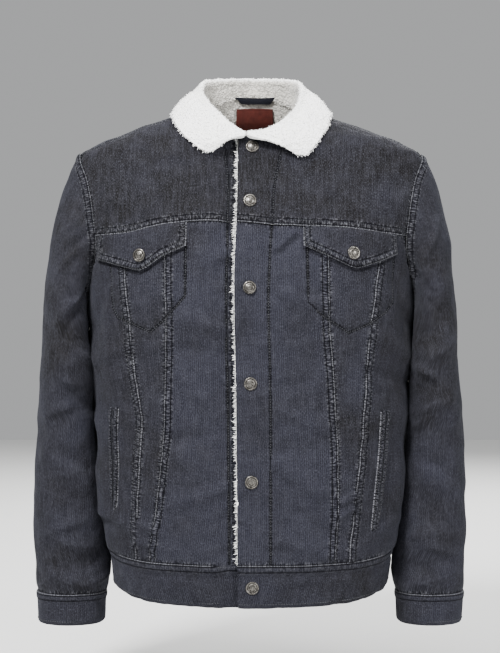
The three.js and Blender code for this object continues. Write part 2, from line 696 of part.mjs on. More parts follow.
// The back yoke runs from the left shoulder seam over the neck to the right one.
function buildBack() {
  const leftArm = armholeRows.map((row) => new THREE.Vector2(radians(row.angle), row.z));
  const rightArm = armholeRows.map((row) => new THREE.Vector2(-radians(row.angle), row.z));
  const overTheTop = (arm) => [...arm.slice(BACK_YOKE_CORNER), arm[0]].map(overShoulder);
  const backNeck = neckRows.slice(SHOULDER_ROW);
  const rightToMiddle = backNeck.map((row) => placeAt(-row.x, row.z, row.back)).map(overShoulder);
  const middleToLeft = backNeck.map((row) => placeAt(row.x, row.z, row.back)).map(overShoulder).reverse();
  const top = [
    ...shoulderSeam(1).reverse().slice(0, -1),
    ...middleToLeft.slice().reverse(),
    ...rightToMiddle.slice().reverse().slice(1),
    ...shoulderSeam(-1).slice(1),
  ];
  const columns = top.length - 1;
  const seamPlaces = evenly(0, 1, columns).map((t) => {
    const half = bodyPoint(leftArm[BACK_YOKE_CORNER].x, leftArm[BACK_YOKE_CORNER].y).x;
    return placeAt(lerp(half, -half, t), armholeRows[BACK_YOKE_CORNER].z, true);
  });
  const yoke = blendEdges({
    bottom: seamPlaces.map(overShoulder),
    top,
    left: overTheTop(leftArm),
    right: overTheTop(rightArm),
  });
  addPiece("back_yoke", sewnWall(yoke, shoulderPoint, 0, CLOTH_WALL), "corduroy");
  buildNeckLining(yoke);

  const turned = (place) => new THREE.Vector2(place.x < 0 ? place.x + 2 * Math.PI : place.x, place.y);
  const underLeft = leftArm.slice(UNDERARM, BACK_YOKE_CORNER);
  const underRight = rightArm.slice(UNDERARM, BACK_YOKE_CORNER).reverse();
  const panelTop = [...underLeft, ...seamPlaces, ...underRight].map(turned);
  const bottom = evenly(Math.PI / 2, (3 * Math.PI) / 2, panelTop.length - 1)
    .map((angle) => new THREE.Vector2(angle, waistByAngle(turnFromFront(angle))));
  const seam = (angle) => evenly(bottom[0].y, panelTop[0].y, BODY_ROWS)
    .map((z) => new THREE.Vector2(angle, z));
  const panel = blendEdges({
    bottom,
    top: panelTop,
    left: seam(Math.PI / 2),
    right: seam((3 * Math.PI) / 2),
  });
  addPiece("back_panel", sewnWall(panel, bodyPoint, 0, CLOTH_WALL), "corduroy");
}

// Degrees round from centre front, the shorter way.
function turnFromFront(angle) {
  const turn = degrees(angle);
  return turn > 180 ? 360 - turn : Math.abs(turn);
}

// One strip round the hem. Its right end runs on under its left end.
function buildWaistband() {
  const start = angleAt(frontEdgeAt(-630), -630);
  const lapAngles = [LAP_TURN_OUT, LAP_TURN_IN, -8, LAP_END]
    .map((x) => angleAt(x, -630) + 2 * Math.PI);
  const aroundSteps = 50;
  const angles = [...evenly(start, lapAngles[0], aroundSteps), ...lapAngles.slice(1)];
  const layer = (out) => pullBack(evenly(0, 1, 2).map((t) => angles.map((angle) => {
    const turn = turnFromFront(angle);
    const z = lerp(hemByAngle(turn), waistByAngle(turn) - SEAM_GAP, t);
    return angle > Math.PI ? lappedBodyPoint(angle, z, out) : bodyPoint(angle, z, out);
  })), false);
  addPiece("waistband", wallBetween(layer(BAND_LIFT), layer(BAND_LIFT - BAND_WALL)), "corduroy");
}

// The half width of the body where it is this deep, with some room, so that a sleeve clears it.
function bodyReach(y, z, room) {
  const depth = (y < 0 ? frontDepthAt(z) : backDepthAt(z)) + room;
  const share = Math.min(1, Math.abs(y) / depth);
  return (halfWidthAt(z) + room) * (1 - share ** SECTION_POWER) ** (1 / SECTION_POWER);
}

function sleeveSection(side, z, around) {
  const column = (key) => sleeveCurves[key](z);
  const outer = column(side > 0 ? "outerLeft" : "outerRight");
  const inner = column("inner");
  const front = column("front");
  const back = column("back");
  const turn = radians(around);
  const out = signedPower(Math.cos(turn), 2 / SLEEVE_POWER);
  const fore = signedPower(Math.sin(turn), 2 / SLEEVE_POWER);
  return new THREE.Vector3(
    side * ((outer + inner) / 2 + ((outer - inner) / 2) * out),
    (front + back) / 2 - ((back - front) / 2) * fore,
    z,
  );
}

const sleeveCurves = Object.fromEntries(
  ["outerRight", "outerLeft", "inner", "front", "back"]
    .map((key) => [key, curveThrough(sleeveRows, "z", key)]));
const headCurves = Object.fromEntries(
  ["out", "back", "up"].map((key) => [key, curveThrough(sleeveHeadRows, "around", key)]));

// Degrees round the sleeve of each row of the armhole: 0 at the shoulder, 90 in front, 180 below.
function aroundArmhole(row) {
  const p = bodyPoint(radians(row.angle), row.z);
  const turn = degrees(Math.atan2(-p.y / 70, (p.z + 168) / 112));
  return turn < 0 ? turn + 360 : turn;
}

function sleeveFoldHeight(side, z, around) {
  return sleeveFolds.reduce((sum, fold) => {
    if (fold.side !== side) return sum;
    const turn = around - fold.around;
    const away = (z - fold.z + fold.slope * turn) / fold.width;
    const off = turn / fold.spread;
    return sum + fold.height * Math.exp(-away * away - off * off);
  }, 0);
}

// Keeps a sleeve's point outside the body by a clearance that grows from nothing at the armhole.
function clearOfBody(point, side, travelled) {
  const room = SLEEVE_CLEARANCE * Math.min(1, 0.35 + travelled / 30);
  const reach = bodyReach(point.y, point.z, room + 1.5);
  const out = Math.abs(point.x);
  const soft = 4;
  const clear = out > reach + soft ? out
    : Math.max(reach, reach + ((out - reach + soft) ** 2) / (4 * soft) * (out > reach - soft ? 1 : 0));
  point.x = side * clear;
  return point;
}

function sleeveGrid(side) {
  const columns = armholeRows.map((row) => {
    const around = aroundArmhole(row);
    const angle = side * radians(row.angle);
    const under = (1 - Math.cos(radians(around))) / 2;
    const start = bodyPoint(angle, row.z, 0.9 * under);
    const leave = new THREE.Vector3(
      side * headCurves.out(around), headCurves.back(around), headCurves.up(around)).normalize();
    start.addScaledVector(leave, 0.35);
    const end = sleeveSection(side, SLEEVE_TOP, around);
    const length = start.distanceTo(end);
    const curve = new THREE.CubicBezierCurve3(
      start,
      start.clone().addScaledVector(leave, HEAD_REACH * length),
      end.clone().add(new THREE.Vector3(0, 0, HEAD_FALL * length)),
      end,
    );
    const head = evenly(0, 1, CAP_ROWS).map((t) => {
      const p = curve.getPoint(t);
      return t === 0 ? p : clearOfBody(p, side, t * length);
    });
    const arm = evenly(SLEEVE_TOP, CUFF_TOP + SEAM_GAP, SLEEVE_ROWS).slice(1)
      .map((z) => clearOfBody(sleeveSection(side, z, around), side, 100));
    return [...head, ...arm].map((point) => ({ point, around }));
  });
  const rows = columns[0].map((_, j) => columns.map((column) => column[j]));
  const plain = rows.map((row) => row.map((knot) => knot.point));
  const normals = gridNormals(plain, true);
  return rows.map((row, j) => row.map((knot, i) => {
    const fade = Math.min(1, j / 2);
    const height = fade * sleeveFoldHeight(side, knot.point.z, knot.around);
    return knot.point.clone().addScaledVector(normals[j][i], height);
  }));
}

// Outward normals of a grid of points, by the differences of neighbours.
function gridNormals(grid, wraps) {
  const rows = grid.length;
  const columns = grid[0].length;
  const centre = new THREE.Vector3();
  grid.flat().forEach((p) => centre.add(p));
  centre.divideScalar(rows * columns);
  let sense = 0;
  const normals = grid.map((row, j) => row.map((p, i) => {
    const left = wraps ? (i + columns - 1) % columns : Math.max(0, i - 1);
    const right = wraps ? (i + 1) % columns : Math.min(columns - 1, i + 1);
    const across = grid[j][right].clone().sub(grid[j][left]);
    const up = grid[Math.min(rows - 1, j + 1)][i].clone().sub(grid[Math.max(0, j - 1)][i]);
    const normal = across.cross(up).normalize();
    sense += normal.dot(p.clone().sub(centre).normalize());
    return normal;
  }));
  if (sense < 0) normals.flat().forEach((n) => n.negate());
  return normals;
}

function movedAlong(grid, normals, out) {
  return grid.map((row, j) => row.map((p, i) => p.clone().addScaledVector(normals[j][i], out)));
}

function buildSleeve(side) {
  const name = side > 0 ? "left" : "right";
  const grid = sleeveGrid(side);
  const inside = movedAlong(grid, gridNormals(grid, true), -CLOTH_WALL);
  addPiece(`sleeve_${name}`, wallBetween(grid, inside, true), "corduroy");

  const rings = evenly(CUFF_TOP - SEAM_GAP, CUFF_BOTTOM, 2)
    .map((z) => armholeRows.map((row) => sleeveSection(side, z, aroundArmhole(row))));
  const lining = movedAlong(rings, gridNormals(rings, true), -BAND_WALL);
  addPiece(`cuff_${name}`, wallBetween(rings, lining, true), "corduroy");
}

// Depth of the outside of something that rests on the body, at a place across it.
function restingDepth(x, z, back, rest) {
  const depthAt = back ? backDepthAt : frontDepthAt;
  const share = Math.min(1, Math.abs(x) / halfWidthAt(z - rest - 0.5));
  const depth = depthAt(z - rest * 0.6) + rest * 0.8;
  const y = depth * (1 - share ** SECTION_POWER) ** (1 / SECTION_POWER);
  return back ? y : -y;
}

// The neckline as points on one side, by the share of its length from centre front.
function neckLine(side) {
  const points = neckRows.map((row) => bodyPoint(side * angleAt(row.x, row.z, row.back), row.z));
  return new THREE.CatmullRomCurve3(points, false, "catmullrom", 0.5);
}

// One station of the collar: its path from the neck seam up over the roll and down to its edge.
function collarStation(side, rows, line, along) {
  const at = (key) => curveThrough(rows, "along", key)(along);
  const foot = line.getPointAt(THREE.MathUtils.clamp(along * 0.98 + 0.01, 0, 1));
  const flat = 1 - THREE.MathUtils.smoothstep(along, 0.08, 0.34);
  foot.z += COLLAR_SEAT + COLLAR_WALL * flat;
  const outward = new THREE.Vector3(foot.x, foot.y + 10, 0).normalize();
  foot.addScaledVector(outward, -COLLAR_WALL * 0.45);
  const roll = new THREE.Vector3(side * at("rollX"), at("rollY"), at("rollZ"));
  const edgeX = at("edgeX");
  const edgeZ = at("edgeZ");
  const wayBack = THREE.MathUtils.smoothstep(along, 0.56, 0.7);
  const frontY = restingDepth(edgeX, edgeZ, false, COLLAR_REST);
  const backY = restingDepth(edgeX, edgeZ, true, COLLAR_REST);
  const edge = new THREE.Vector3(side * edgeX, lerp(frontY, backY, wayBack), edgeZ);
  const drop = new THREE.Vector3(0, 0, -ROLL_RADIUS);
  const rise = roll.clone().addScaledVector(outward, -ROLL_RADIUS);
  rise.z -= Math.min(ROLL_RADIUS, (roll.z - foot.z) / 2);
  const fall = roll.clone().add(drop).addScaledVector(outward, ROLL_RADIUS);
  const bulge = fall.clone().lerp(edge, 0.5).addScaledVector(outward, COLLAR_BULGE * 0.6);
  bulge.z += COLLAR_BULGE * 0.8;
  const cloth = new THREE.QuadraticBezierCurve3(fall, bulge, edge);
  return [
    foot, foot.clone().lerp(rise, 0.55), rise, roll,
    fall, cloth.getPoint(0.34), cloth.getPoint(0.68), edge,
  ];
}

function collarPaths() {
  const half = COLLAR_COLUMNS / 2;
  const stations = (side, rows) => {
    const line = neckLine(side);
    return evenly(0, 1, half).map((t) => collarStation(side, rows, line, t ** 1.25));
  };
  const left = stations(1, leftCollarRows);
  const right = stations(-1, rightCollarRows).reverse();
  return [...left, ...right.slice(1)];
}

function buildCollar() {
  const paths = collarPaths();
  const rows = paths[0].map((_, j) => paths.map((path) => path[j]));
  const normals = gridNormals(rows, false);
  const hidden = movedAlong(rows, normals, -COLLAR_WALL);
  addPiece("collar", wallBetween(rows, hidden), "pile");
}

// A chest flap, from the yoke seam down to its lower edge, in columns of even width.
function buildFlap(side) {
  const name = side > 0 ? "left" : "right";
  const rows = side > 0 ? leftFlapRows : rightFlapRows;
  const knots = rows.slice(1).flatMap((row, i) => {
    const before = rows[i];
    const steps = Math.ceil((row.x - before.x) / FLAP_COLUMN_WIDTH);
    return evenly(0, 1, steps).slice(1)
      .map((t) => ({ x: lerp(before.x, row.x, t), z: lerp(before.z, row.z, t) }));
  });
  const edge = [rows[0], ...knots];
  const layer = (out) => evenly(0, 1, FLAP_ROWS).map((t) => edge.map((knot) => {
    const z = lerp(knot.z, yokeSeamAt(knot.x) - FLAP_TOP_DROP, t);
    return bodyPoint(angleAt(knot.x, z), z, out);
  }));
  const lift = TRIM_LIFT + FLAP_WALL;
  addPiece(`chest_flap_${name}`, wallBetween(layer(lift), layer(lift - FLAP_WALL)), "corduroy");
}

function buildWelt(side) {
  const name = side > 0 ? "left" : "right";
  const rows = side > 0 ? leftWeltRows : rightWeltRows;
  const layer = (out) => rows.map((row) => evenly(row.inner, row.outer, 2)
    .map((x) => bodyPoint(angleAt(side * x, row.z), row.z, out)));
  const lift = TRIM_LIFT + WELT_WALL;
  addPiece(`hand_pocket_welt_${name}`, wallBetween(layer(lift), layer(lift - WELT_WALL)), "corduroy");
}

// The strip of pile behind the edge of the left front. It shows past that edge.
function buildEdgePile() {
  const past = 6;
  const behind = 14;
  const heights = evenly(-597, -58, 16);
  const layer = (out) => heights.map((z) => [-past, behind]
    .map((x) => bodyPoint(angleAt(frontEdgeAt(z) + x, z), z, out)));
  const geometry = wallBetween(layer(-EDGE_PILE_LIFT), layer(-EDGE_PILE_LIFT - PILE_EDGE_WALL));
  addPiece("front_edge_facing", geometry, "pile");
}

// The pile inside the back neck follows the upper middle of the back yoke.
function buildNeckLining(yokePlaces) {
  const first = SHOULDER_STEPS + 1;
  const places = yokePlaces.slice(LINING_FIRST_ROW).map((row) => row.slice(first, -first));
  const geometry = sewnWall(places, shoulderPoint, -LINING_LIFT, PILE_WALL);
  addPiece("lining_back_neck", geometry, "pile");
}

// A strip against the pile inside the neck, from places across and a height for each.
function onLining(places, width, lift, wall) {
  const out = -(LINING_LIFT + PILE_WALL + lift);
  const layer = (depth) => [width / 2, -width / 2].map((rise) => places.map((p) => {
    const angle = angleAt(p.x, p.z + rise, true);
    return bodyPoint(angle < 0 ? angle + 2 * Math.PI : angle, p.z + rise, depth);
  }));
  return wallBetween(layer(out), layer(out - wall));
}

function buildNeckTrim() {
  const loop = evenly(0, 1, 8).map((t) => ({
    x: lerp(LOOP_RIGHT, LOOP_LEFT, t),
    z: LOOP_TOP - LOOP_SAG * Math.sin(Math.PI * t) ** 0.6 - (t < 0.5 ? 1 : 2.5) * Math.abs(t - 0.5),
  }));
  addPiece("hanger_loop", onLining(loop, LOOP_WIDTH, TRIM_LIFT, LOOP_WALL), "tape");
  const patch = evenly(PATCH_RIGHT, PATCH_LEFT, 4)
    .map((x) => ({ x, z: (PATCH_TOP + PATCH_BOTTOM) / 2 }));
  const height = PATCH_TOP - PATCH_BOTTOM;
  addPiece("neck_label", onLining(patch, height, PATCH_LIFT, NECK_PATCH_WALL), "leather");
}

function buildButton(name, place, lift) {
  const profile = buttonProfile.map((row) => new THREE.Vector2(row.radius, row.height));
  const mesh = addPiece(name, new THREE.LatheGeometry(profile, BUTTON_SIDES), "button");
  const surface = bodyPoint(angleAt(place.x, place.z), place.z, lift);
  const normal = bodyNormal(bodyPoint(angleAt(place.x, place.z), place.z));
  mesh.position.copy(surface);
  mesh.quaternion.setFromUnitVectors(new THREE.Vector3(0, 1, 0), normal);
}

[1, -1].forEach((side) => {
  buildFront(side);
  buildSleeve(side);
  buildFlap(side);
  buildWelt(side);
});
buildBack();
buildWaistband();
buildCollar();
buildEdgePile();
buildNeckTrim();
frontButtonRows.forEach((place, i) => {
  const onBand = i === frontButtonRows.length - 1;
  buildButton(`button_front_${i + 1}`, place, onBand ? BAND_LIFT + BUTTON_SEAT : BUTTON_SEAT);
});
const FLAP_FACE = TRIM_LIFT + FLAP_WALL;
buildButton("button_flap_left", leftFlapButton, FLAP_FACE + BUTTON_SEAT);
buildButton("button_flap_right", rightFlapButton, FLAP_FACE + BUTTON_SEAT);

export default jacket;
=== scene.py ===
import json
import math

import bpy
import numpy as np
from mathutils import Matrix, Vector
from mathutils.bvhtree import BVHTree

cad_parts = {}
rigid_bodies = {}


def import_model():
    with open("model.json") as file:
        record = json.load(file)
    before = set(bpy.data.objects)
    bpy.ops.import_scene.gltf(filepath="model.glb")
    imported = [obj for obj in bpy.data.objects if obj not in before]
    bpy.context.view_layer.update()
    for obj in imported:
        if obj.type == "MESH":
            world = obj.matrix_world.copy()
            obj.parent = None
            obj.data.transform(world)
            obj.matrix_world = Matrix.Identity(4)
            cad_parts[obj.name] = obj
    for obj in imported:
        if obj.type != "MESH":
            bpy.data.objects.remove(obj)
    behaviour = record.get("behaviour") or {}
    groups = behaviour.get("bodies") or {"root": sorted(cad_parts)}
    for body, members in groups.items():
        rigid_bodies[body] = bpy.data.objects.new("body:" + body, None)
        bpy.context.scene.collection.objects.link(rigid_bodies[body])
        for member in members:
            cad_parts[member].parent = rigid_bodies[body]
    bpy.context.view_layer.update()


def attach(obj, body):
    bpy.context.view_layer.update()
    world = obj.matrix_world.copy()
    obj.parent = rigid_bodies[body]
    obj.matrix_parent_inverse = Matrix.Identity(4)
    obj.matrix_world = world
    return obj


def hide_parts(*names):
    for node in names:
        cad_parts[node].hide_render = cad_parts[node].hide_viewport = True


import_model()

bl_info = {
    "name": "Pile-lined corduroy jacket",
    "version": (1, 0, 0),
    "blender": (4, 5, 0),
    "location": "3D View > Sidebar > Jacket",
    "description": "Sews a buttoned corduroy jacket with a pile collar, held hollow as if worn",
    "category": "Add Mesh",
}

# Sizes below are millimetres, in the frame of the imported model.
# The front faces -Y and the wearer's left is +X. The origin is the middle of the neck.
MM = 0.001

# Walls and lifts
CLOTH_WALL = 2.2
BAND_WALL = 3.2
COLLAR_WALL = 4.8
PILE_WALL = 3.6
EDGE_PILE_WALL = 2.4
FLAP_WALL = 2.4
WELT_WALL = 2.2
PATCH_WALL = 1.3
TRIM_LIFT = 0.5
LINING_LIFT = CLOTH_WALL + 0.5
EDGE_PILE_LIFT = CLOTH_WALL + 0.3
LAP_DEPTH = 5.8
BAND_LIFT = 1.0

# Sections of the body. Columns: height, half width, depth in front, depth behind.
SECTION_POWER = 2.5
BODY_ROWS = [
    (36, 54, 30, 63), (15, 68, 38, 68), (0, 78, 46, 72), (-7.5, 107, 53, 77),
    (-14, 129, 59, 81), (-21, 148, 66, 85), (-33, 178, 77, 91), (-41, 200, 85, 96),
    (-51, 221, 91, 101), (-58, 233, 93.5, 104), (-80, 239, 100, 109), (-110, 239, 109, 116),
    (-150, 235, 120, 123), (-200, 225, 130, 126), (-290, 222, 136, 121), (-393, 211, 136, 112),
    (-461, 207, 135, 111), (-530, 201, 134, 114), (-570, 195, 132.5, 116), (-603, 190, 131, 118),
    (-639, 185, 128, 118), (-660, 178, 126, 117),
]

# The neckline from centre front to centre back, on one side: across, height, and if it is behind.
NECK_ROWS = [
    (0, -44, False), (26, -38, False), (48, -26, False), (64, -13, False), (76.5, -3.5, False),
    (78, 0, True), (66, 10.5, True), (52, 18.6, True), (36, 26, True), (18, 31.2, True), (0, 33, True),
]
SHOULDER_ROW = 4

# The armhole, once round from the shoulder seam down the front: degrees round the body, and height.
ARMHOLE_ROWS = [
    (79, -61), (72.5, -70.5), (66.5, -85), (62.5, -101), (60, -122), (59.4, -147), (60.2, -172),
    (64.5, -199), (70.5, -226), (77, -251), (83.5, -271), (90, -280), (97.5, -274.5), (104, -256),
    (109.5, -232), (114.5, -204), (118, -176), (119, -150), (118, -124), (115.5, -101), (111, -83),
    (104.5, -69.5), (96.5, -60.5), (88, -57.5),
]
FRONT_YOKE_CORNER = 6
UNDERARM = 11
BACK_YOKE_CORNER = 17

# Seams across the fronts. Columns: place across, height.
YOKE_SEAM_ROWS = [
    (-206, -172), (-167, -170), (-132, -163), (-104, -158), (-62, -155), (-20, -156),
    (27, -160), (66, -161.5), (110, -163), (138, -165), (169, -169), (206, -172),
]

# Waist and hem. Columns: degrees round from the front, height.
WAIST_SEAM_ROWS = [(0, -600), (35, -599), (55, -596), (75, -591), (90, -588), (180, -590)]
HEM_ROWS = [(0, -656), (35, -653.5), (50, -650), (65, -645), (90, -639), (180, -643)]

# Lines down the front. Columns: height, place across.
FRONT_EDGE_ROWS = [(-660, -17), (-400, -19), (-240, -21.8), (-120, -18), (-30, -17)]
VEE_SEAM_ROWS = {
    (-1, "outer"): [(-600, 150.5), (-520, 147.4), (-465, 144.5), (-412, 141.5), (-350, 151.3),
                    (-290, 157.5), (-221, 164), (-150, 174)],
    (-1, "inner"): [(-600, 133.5), (-520, 122.5), (-465, 116), (-412, 111.5), (-350, 110.5),
                    (-290, 110), (-221, 111.4), (-150, 112)],
    (1, "inner"): [(-600, 108.7), (-520, 112.3), (-465, 112), (-412, 109), (-350, 106),
                   (-290, 101.5), (-221, 100), (-150, 99)],
    (1, "outer"): [(-600, 126), (-520, 134.4), (-465, 140.8), (-412, 145.6), (-350, 149.6),
                   (-290, 155.5), (-221, 165), (-150, 173)],
}
PLACKET_STITCH_ROWS = [
    (-60, 40), (-73, 37.4), (-117, 29.5), (-158, 27.1), (-202, 24.1), (-261, 22.2), (-340, 24.1),
    (-411, 25.2), (-499, 25.2), (-601, 25.2),
]
UNDERLAP_STITCH_ROWS = [(-60, -34), (-103, -30), (-182, -31), (-281, -32.3), (-379, -30), (-601, -28.4)]

# The chest pocket bags hang inside: their stitched outlines, across the front and by height.
POCKET_OUTLINES = {
    -1: [(-85, -190), (-85, -252.7), (-113.9, -284.6), (-129.8, -299.5), (-153.5, -288.8),
         (-173.3, -281), (-181, -266.8), (-185, -212)],
    1: [(72.5, -190), (73.5, -261), (90.3, -276.8), (125.9, -300.4), (153.5, -288.8),
        (177.2, -272.8), (187, -261), (188, -205.7)],
}

# The right front runs on under the left one, deeper by LAP_DEPTH, as far as LAP_END.
LAP_END = 16
LAP_TURN_IN = -30
LAP_TURN_OUT = -52

# Soft folds of the body: from one place to another, width, height, and if it is behind.
MAIN_FOLDS = [
    (-214, -300, -200, -392, 18, -3.5, False), (214, -296, 202, -380, 18, -3.5, False),
    (-60, -582, -78, -470, 22, 3, False), (62, -584, 84, -480, 22, 3, False),
    (-150, -300, -120, -470, 26, -5, True), (150, -300, 118, -480, 26, -5, True),
    (-40, -360, -62, -560, 24, 4, True), (52, -380, 66, -566, 24, 4, True),
]
SMALL_FOLDS = [
    (56, -172, 33, -192, 5, 1.5, False), (60, -178, 40, -196, 5, -1.3, False),
    (-30, -196, -62, -214, 8, 1.4, False), (-34, -300, -80, -282, 9, 1.5, False),
    (-32, -330, -92, -318, 8, -1.4, False), (-90, -356, -44, -404, 10, 1.6, False),
    (-100, -440, -50, -428, 9, -1.3, False), (-36, -500, -88, -520, 10, 1.5, False),
    (40, -250, 92, -268, 9, 1.3, False), (36, -372, 80, -362, 9, -1.4, False),
    (44, -402, 96, -424, 10, 1.5, False), (30, -470, 88, -506, 11, 1.8, False),
    (60, -530, 98, -560, 9, -1.4, False), (40, -566, 96, -590, 8, 1.4, False),
    (118, -520, 136, -512, 5, 1.6, False), (116, -538, 134, -528, 5, 1.5, False),
    (-118, -560, -146, -548, 6, 1.4, False), (-122, -582, -148, -572, 6, 1.3, False),
    (160, -300, 205, -330, 10, 1.8, False), (158, -350, 206, -366, 9, -1.6, False),
    (-164, -320, -206, -338, 10, 1.8, False), (-150, -560, -190, -540, 9, 1.8, False),
    (150, -575, 188, -548, 9, 1.8, False), (-196, -420, -196, -540, 9, 1.5, False),
    (196, -410, 192, -520, 9, 1.5, False), (-190, -230, -204, -290, 9, -1.8, False),
    (190, -226, 206, -284, 9, -1.8, False), (-60, -90, -120, -120, 18, 1.2, False),
    (64, -96, 130, -122, 18, 1.1, False), (-170, -100, -196, -150, 10, 1.4, False),
    (172, -104, 196, -150, 10, -1.3, False), (-100, -210, 0, -224, 14, 2, True),
    (30, -214, 140, -206, 14, 2, True), (-130, -520, -60, -560, 12, 2.2, True),
    (140, -500, 90, -566, 12, 2.2, True), (-10, -250, 20, -420, 16, 1.8, True),
    (-190, -330, -150, -400, 12, 2, True), (190, -340, 150, -396, 12, 2, True),
    (216, -330, 211, -410, 26, 2.8, False), (216, -330, 211, -410, 26, 2.8, True),
    (-216, -330, -211, -410, 26, 2.8, False), (-216, -330, -211, -410, 26, 2.8, True),
    (206, -490, 194, -578, 24, 2.6, False), (206, -490, 194, -578, 24, 2.6, True),
    (-206, -490, -194, -578, 24, 2.6, False), (-206, -490, -194, -578, 24, 2.6, True),
]

# A sleeve is a row of level sections: height, outer edge right and left, inner edge, front, back.
SLEEVE_POWER = 2.15
SLEEVE_ROWS = [
    (-330, 284.5, 281, 206, -82, 76), (-393, 289, 286, 205, -74, 64), (-434, 292.5, 289, 205, -69, 57),
    (-496, 296, 292, 201, -63, 50), (-560, 296, 293, 196, -58, 45), (-612, 294.5, 291, 192.5, -54, 43),
    (-640, 294, 290.5, 195, -52, 42), (-651.2, 292, 289, 198, -50, 40),
    (-695, 289.5, 286.5, 200, -50, 40),
]
SLEEVE_TOP = -330
CUFF_TOP = -651.2
CUFF_BOTTOM = -692.5
SLEEVE_CLEARANCE = 0.4

# The way a sleeve leaves its armhole. Columns: degrees round, out, back, up.
SLEEVE_HEAD_ROWS = [
    (0, 0.62, 0, -0.78), (90, 0.7, -0.14, -0.7), (180, 0.05, 0, -1), (270, 0.7, 0.14, -0.7),
    (360, 0.62, 0, -0.78),
]
HEAD_REACH = 0.17
HEAD_FALL = 0.42

# Folds of the sleeves: side, height, degrees round, slope, width, spread, height of the fold.
SLEEVE_FOLDS = [
    (-1, -236, 128, -1.6, 17, 46, -6), (-1, -304, 70, 0.5, 20, 44, -4),
    (-1, -384, 112, 0.35, 15, 42, -5), (-1, -430, 60, -0.4, 20, 46, -3.5),
    (-1, -520, 96, 0.3, 22, 50, -3), (-1, -606, 118, -0.25, 14, 44, -4.5),
    (-1, -410, 262, 0.3, 20, 60, -5), (-1, -352, 282, -0.3, 20, 50, -4),
    (1, -214, 120, -1.2, 17, 42, -5.5), (1, -290, 82, 0.6, 20, 44, -4),
    (1, -372, 104, 0.4, 15, 44, -5), (1, -446, 66, -0.5, 22, 42, -3.5),
    (1, -536, 92, -0.3, 22, 50, -3), (1, -612, 84, 0.25, 14, 44, -4.5),
    (1, -400, 268, -0.3, 20, 60, -5), (1, -340, 284, 0.3, 20, 50, -4),
]
SMALL_SLEEVE_FOLDS = [
    (-1, -150, 96, -0.9, 8, 30, 1.6), (-1, -190, 84, -1.2, 8, 26, 1.8), (-1, -262, 96, -0.9, 8, 30, 2),
    (-1, -330, 120, 0.5, 7, 26, 2.2), (-1, -366, 96, 0.3, 7, 30, 2), (-1, -402, 84, -0.2, 7, 26, 1.8),
    (-1, -468, 100, 0.4, 9, 30, -1.6), (-1, -560, 84, -0.3, 8, 34, 1.8), (-1, -586, 112, 0.2, 7, 30, 2),
    (-1, -630, 80, 0.3, 6, 34, 1.8), (-1, -632, 140, -0.2, 6, 30, 1.8), (-1, -470, 250, 0.3, 9, 40, 2),
    (-1, -560, 280, -0.3, 9, 40, 2), (1, -146, 92, 1, 8, 28, 1.6), (1, -184, 70, 1.2, 8, 26, 1.8),
    (1, -246, 98, -0.8, 8, 30, 2), (1, -322, 70, 0.4, 7, 30, 2), (1, -352, 112, -0.4, 7, 28, 2.2),
    (1, -396, 90, 0.3, 7, 32, 2), (1, -420, 120, 0.4, 7, 26, 1.8), (1, -480, 84, -0.4, 9, 32, -1.6),
    (1, -570, 110, 0.3, 8, 30, 1.8), (1, -592, 70, -0.3, 7, 30, 2), (1, -632, 96, 0.2, 6, 36, 1.8),
    (1, -470, 270, 0.3, 9, 40, 2), (1, -550, 256, -0.3, 9, 40, 2), (1, -626, 280, 0.3, 7, 40, 2),
]

# The collar by its share of the way from its front end to centre back.
# Columns: share, roll across, roll depth, roll height, edge across, edge height.
COLLAR_ROWS = {
    1: [
        (0.0, -3, -98, -36.5, 60, -67.5), (0.05, 11, -95, -34.5, 70, -68.5),
        (0.11, 26, -91, -30, 77, -62.5), (0.21, 43, -77, -18, 86, -51.5),
        (0.32, 57, -56, -3, 95, -37.5), (0.43, 67, -30, 15, 102.5, -23), (0.56, 71, 2, 36, 107.5, -4),
        (0.7, 66, 34, 50, 103, -4), (0.86, 40, 58, 57, 66, -4), (1.0, 0, 69, 59, 0, -2),
    ],
    -1: [
        (0.0, 9, -96, -36, 46, -60.5), (0.05, 16, -93, -32, 55, -63.5), (0.11, 24, -88, -26, 64, -60.5),
        (0.21, 38, -74, -13, 78, -49.5), (0.32, 51, -54, 2, 90, -37), (0.43, 63, -30, 18, 99.5, -24),
        (0.56, 70.5, 2, 36, 107, -4), (0.7, 66, 34, 50, 103, -4), (0.86, 40, 58, 57, 66, -4),
        (1.0, 0, 69, 59, 0, -2),
    ],
}
ROLL_RADIUS = 6
COLLAR_SEAT = 0.8
COLLAR_BULGE = 9
COLLAR_REST = COLLAR_WALL + 1.4

# Chest flaps, by place across the front: the lower edge and the point.
FLAP_ROWS = {
    1: [(67.5, -188), (102, -202.5), (126, -214), (134.8, -216.5), (144, -215), (166, -208), (191, -197)],
    -1: [(-201, -204), (-169, -213.5), (-152, -218.5), (-143.8, -219.8), (-135, -216), (-113.6, -201),
         (-83.5, -188)],
}
FLAP_TOP_DROP = 1.5

# Hand pocket welts: height, inner edge, outer edge.
WELT_ROWS = {
    1: [(-402, 169, 182), (-450, 166.5, 179), (-492, 162.5, 175), (-532, 158.5, 169.5),
        (-560, 155.5, 164.5)],
    -1: [(-398, 173, 188), (-440, 173, 187), (-476, 172, 185.5), (-512, 173.5, 185.5),
         (-551, 178, 186)],
}

# Buttons down the front, and on the flaps: across and height.
FRONT_BUTTONS = [(1.5, -56.6), (-1.5, -129), (-2, -242), (-0.8, -365.5), (0.5, -492), (1.5, -628)]
FLAP_BUTTONS = {1: (131.5, -197), -1: (-143.5, -200)}
BUTTON_LIFT = {"front": 0.6, "waist": 1.6, "flap": TRIM_LIFT + FLAP_WALL + 1.0}

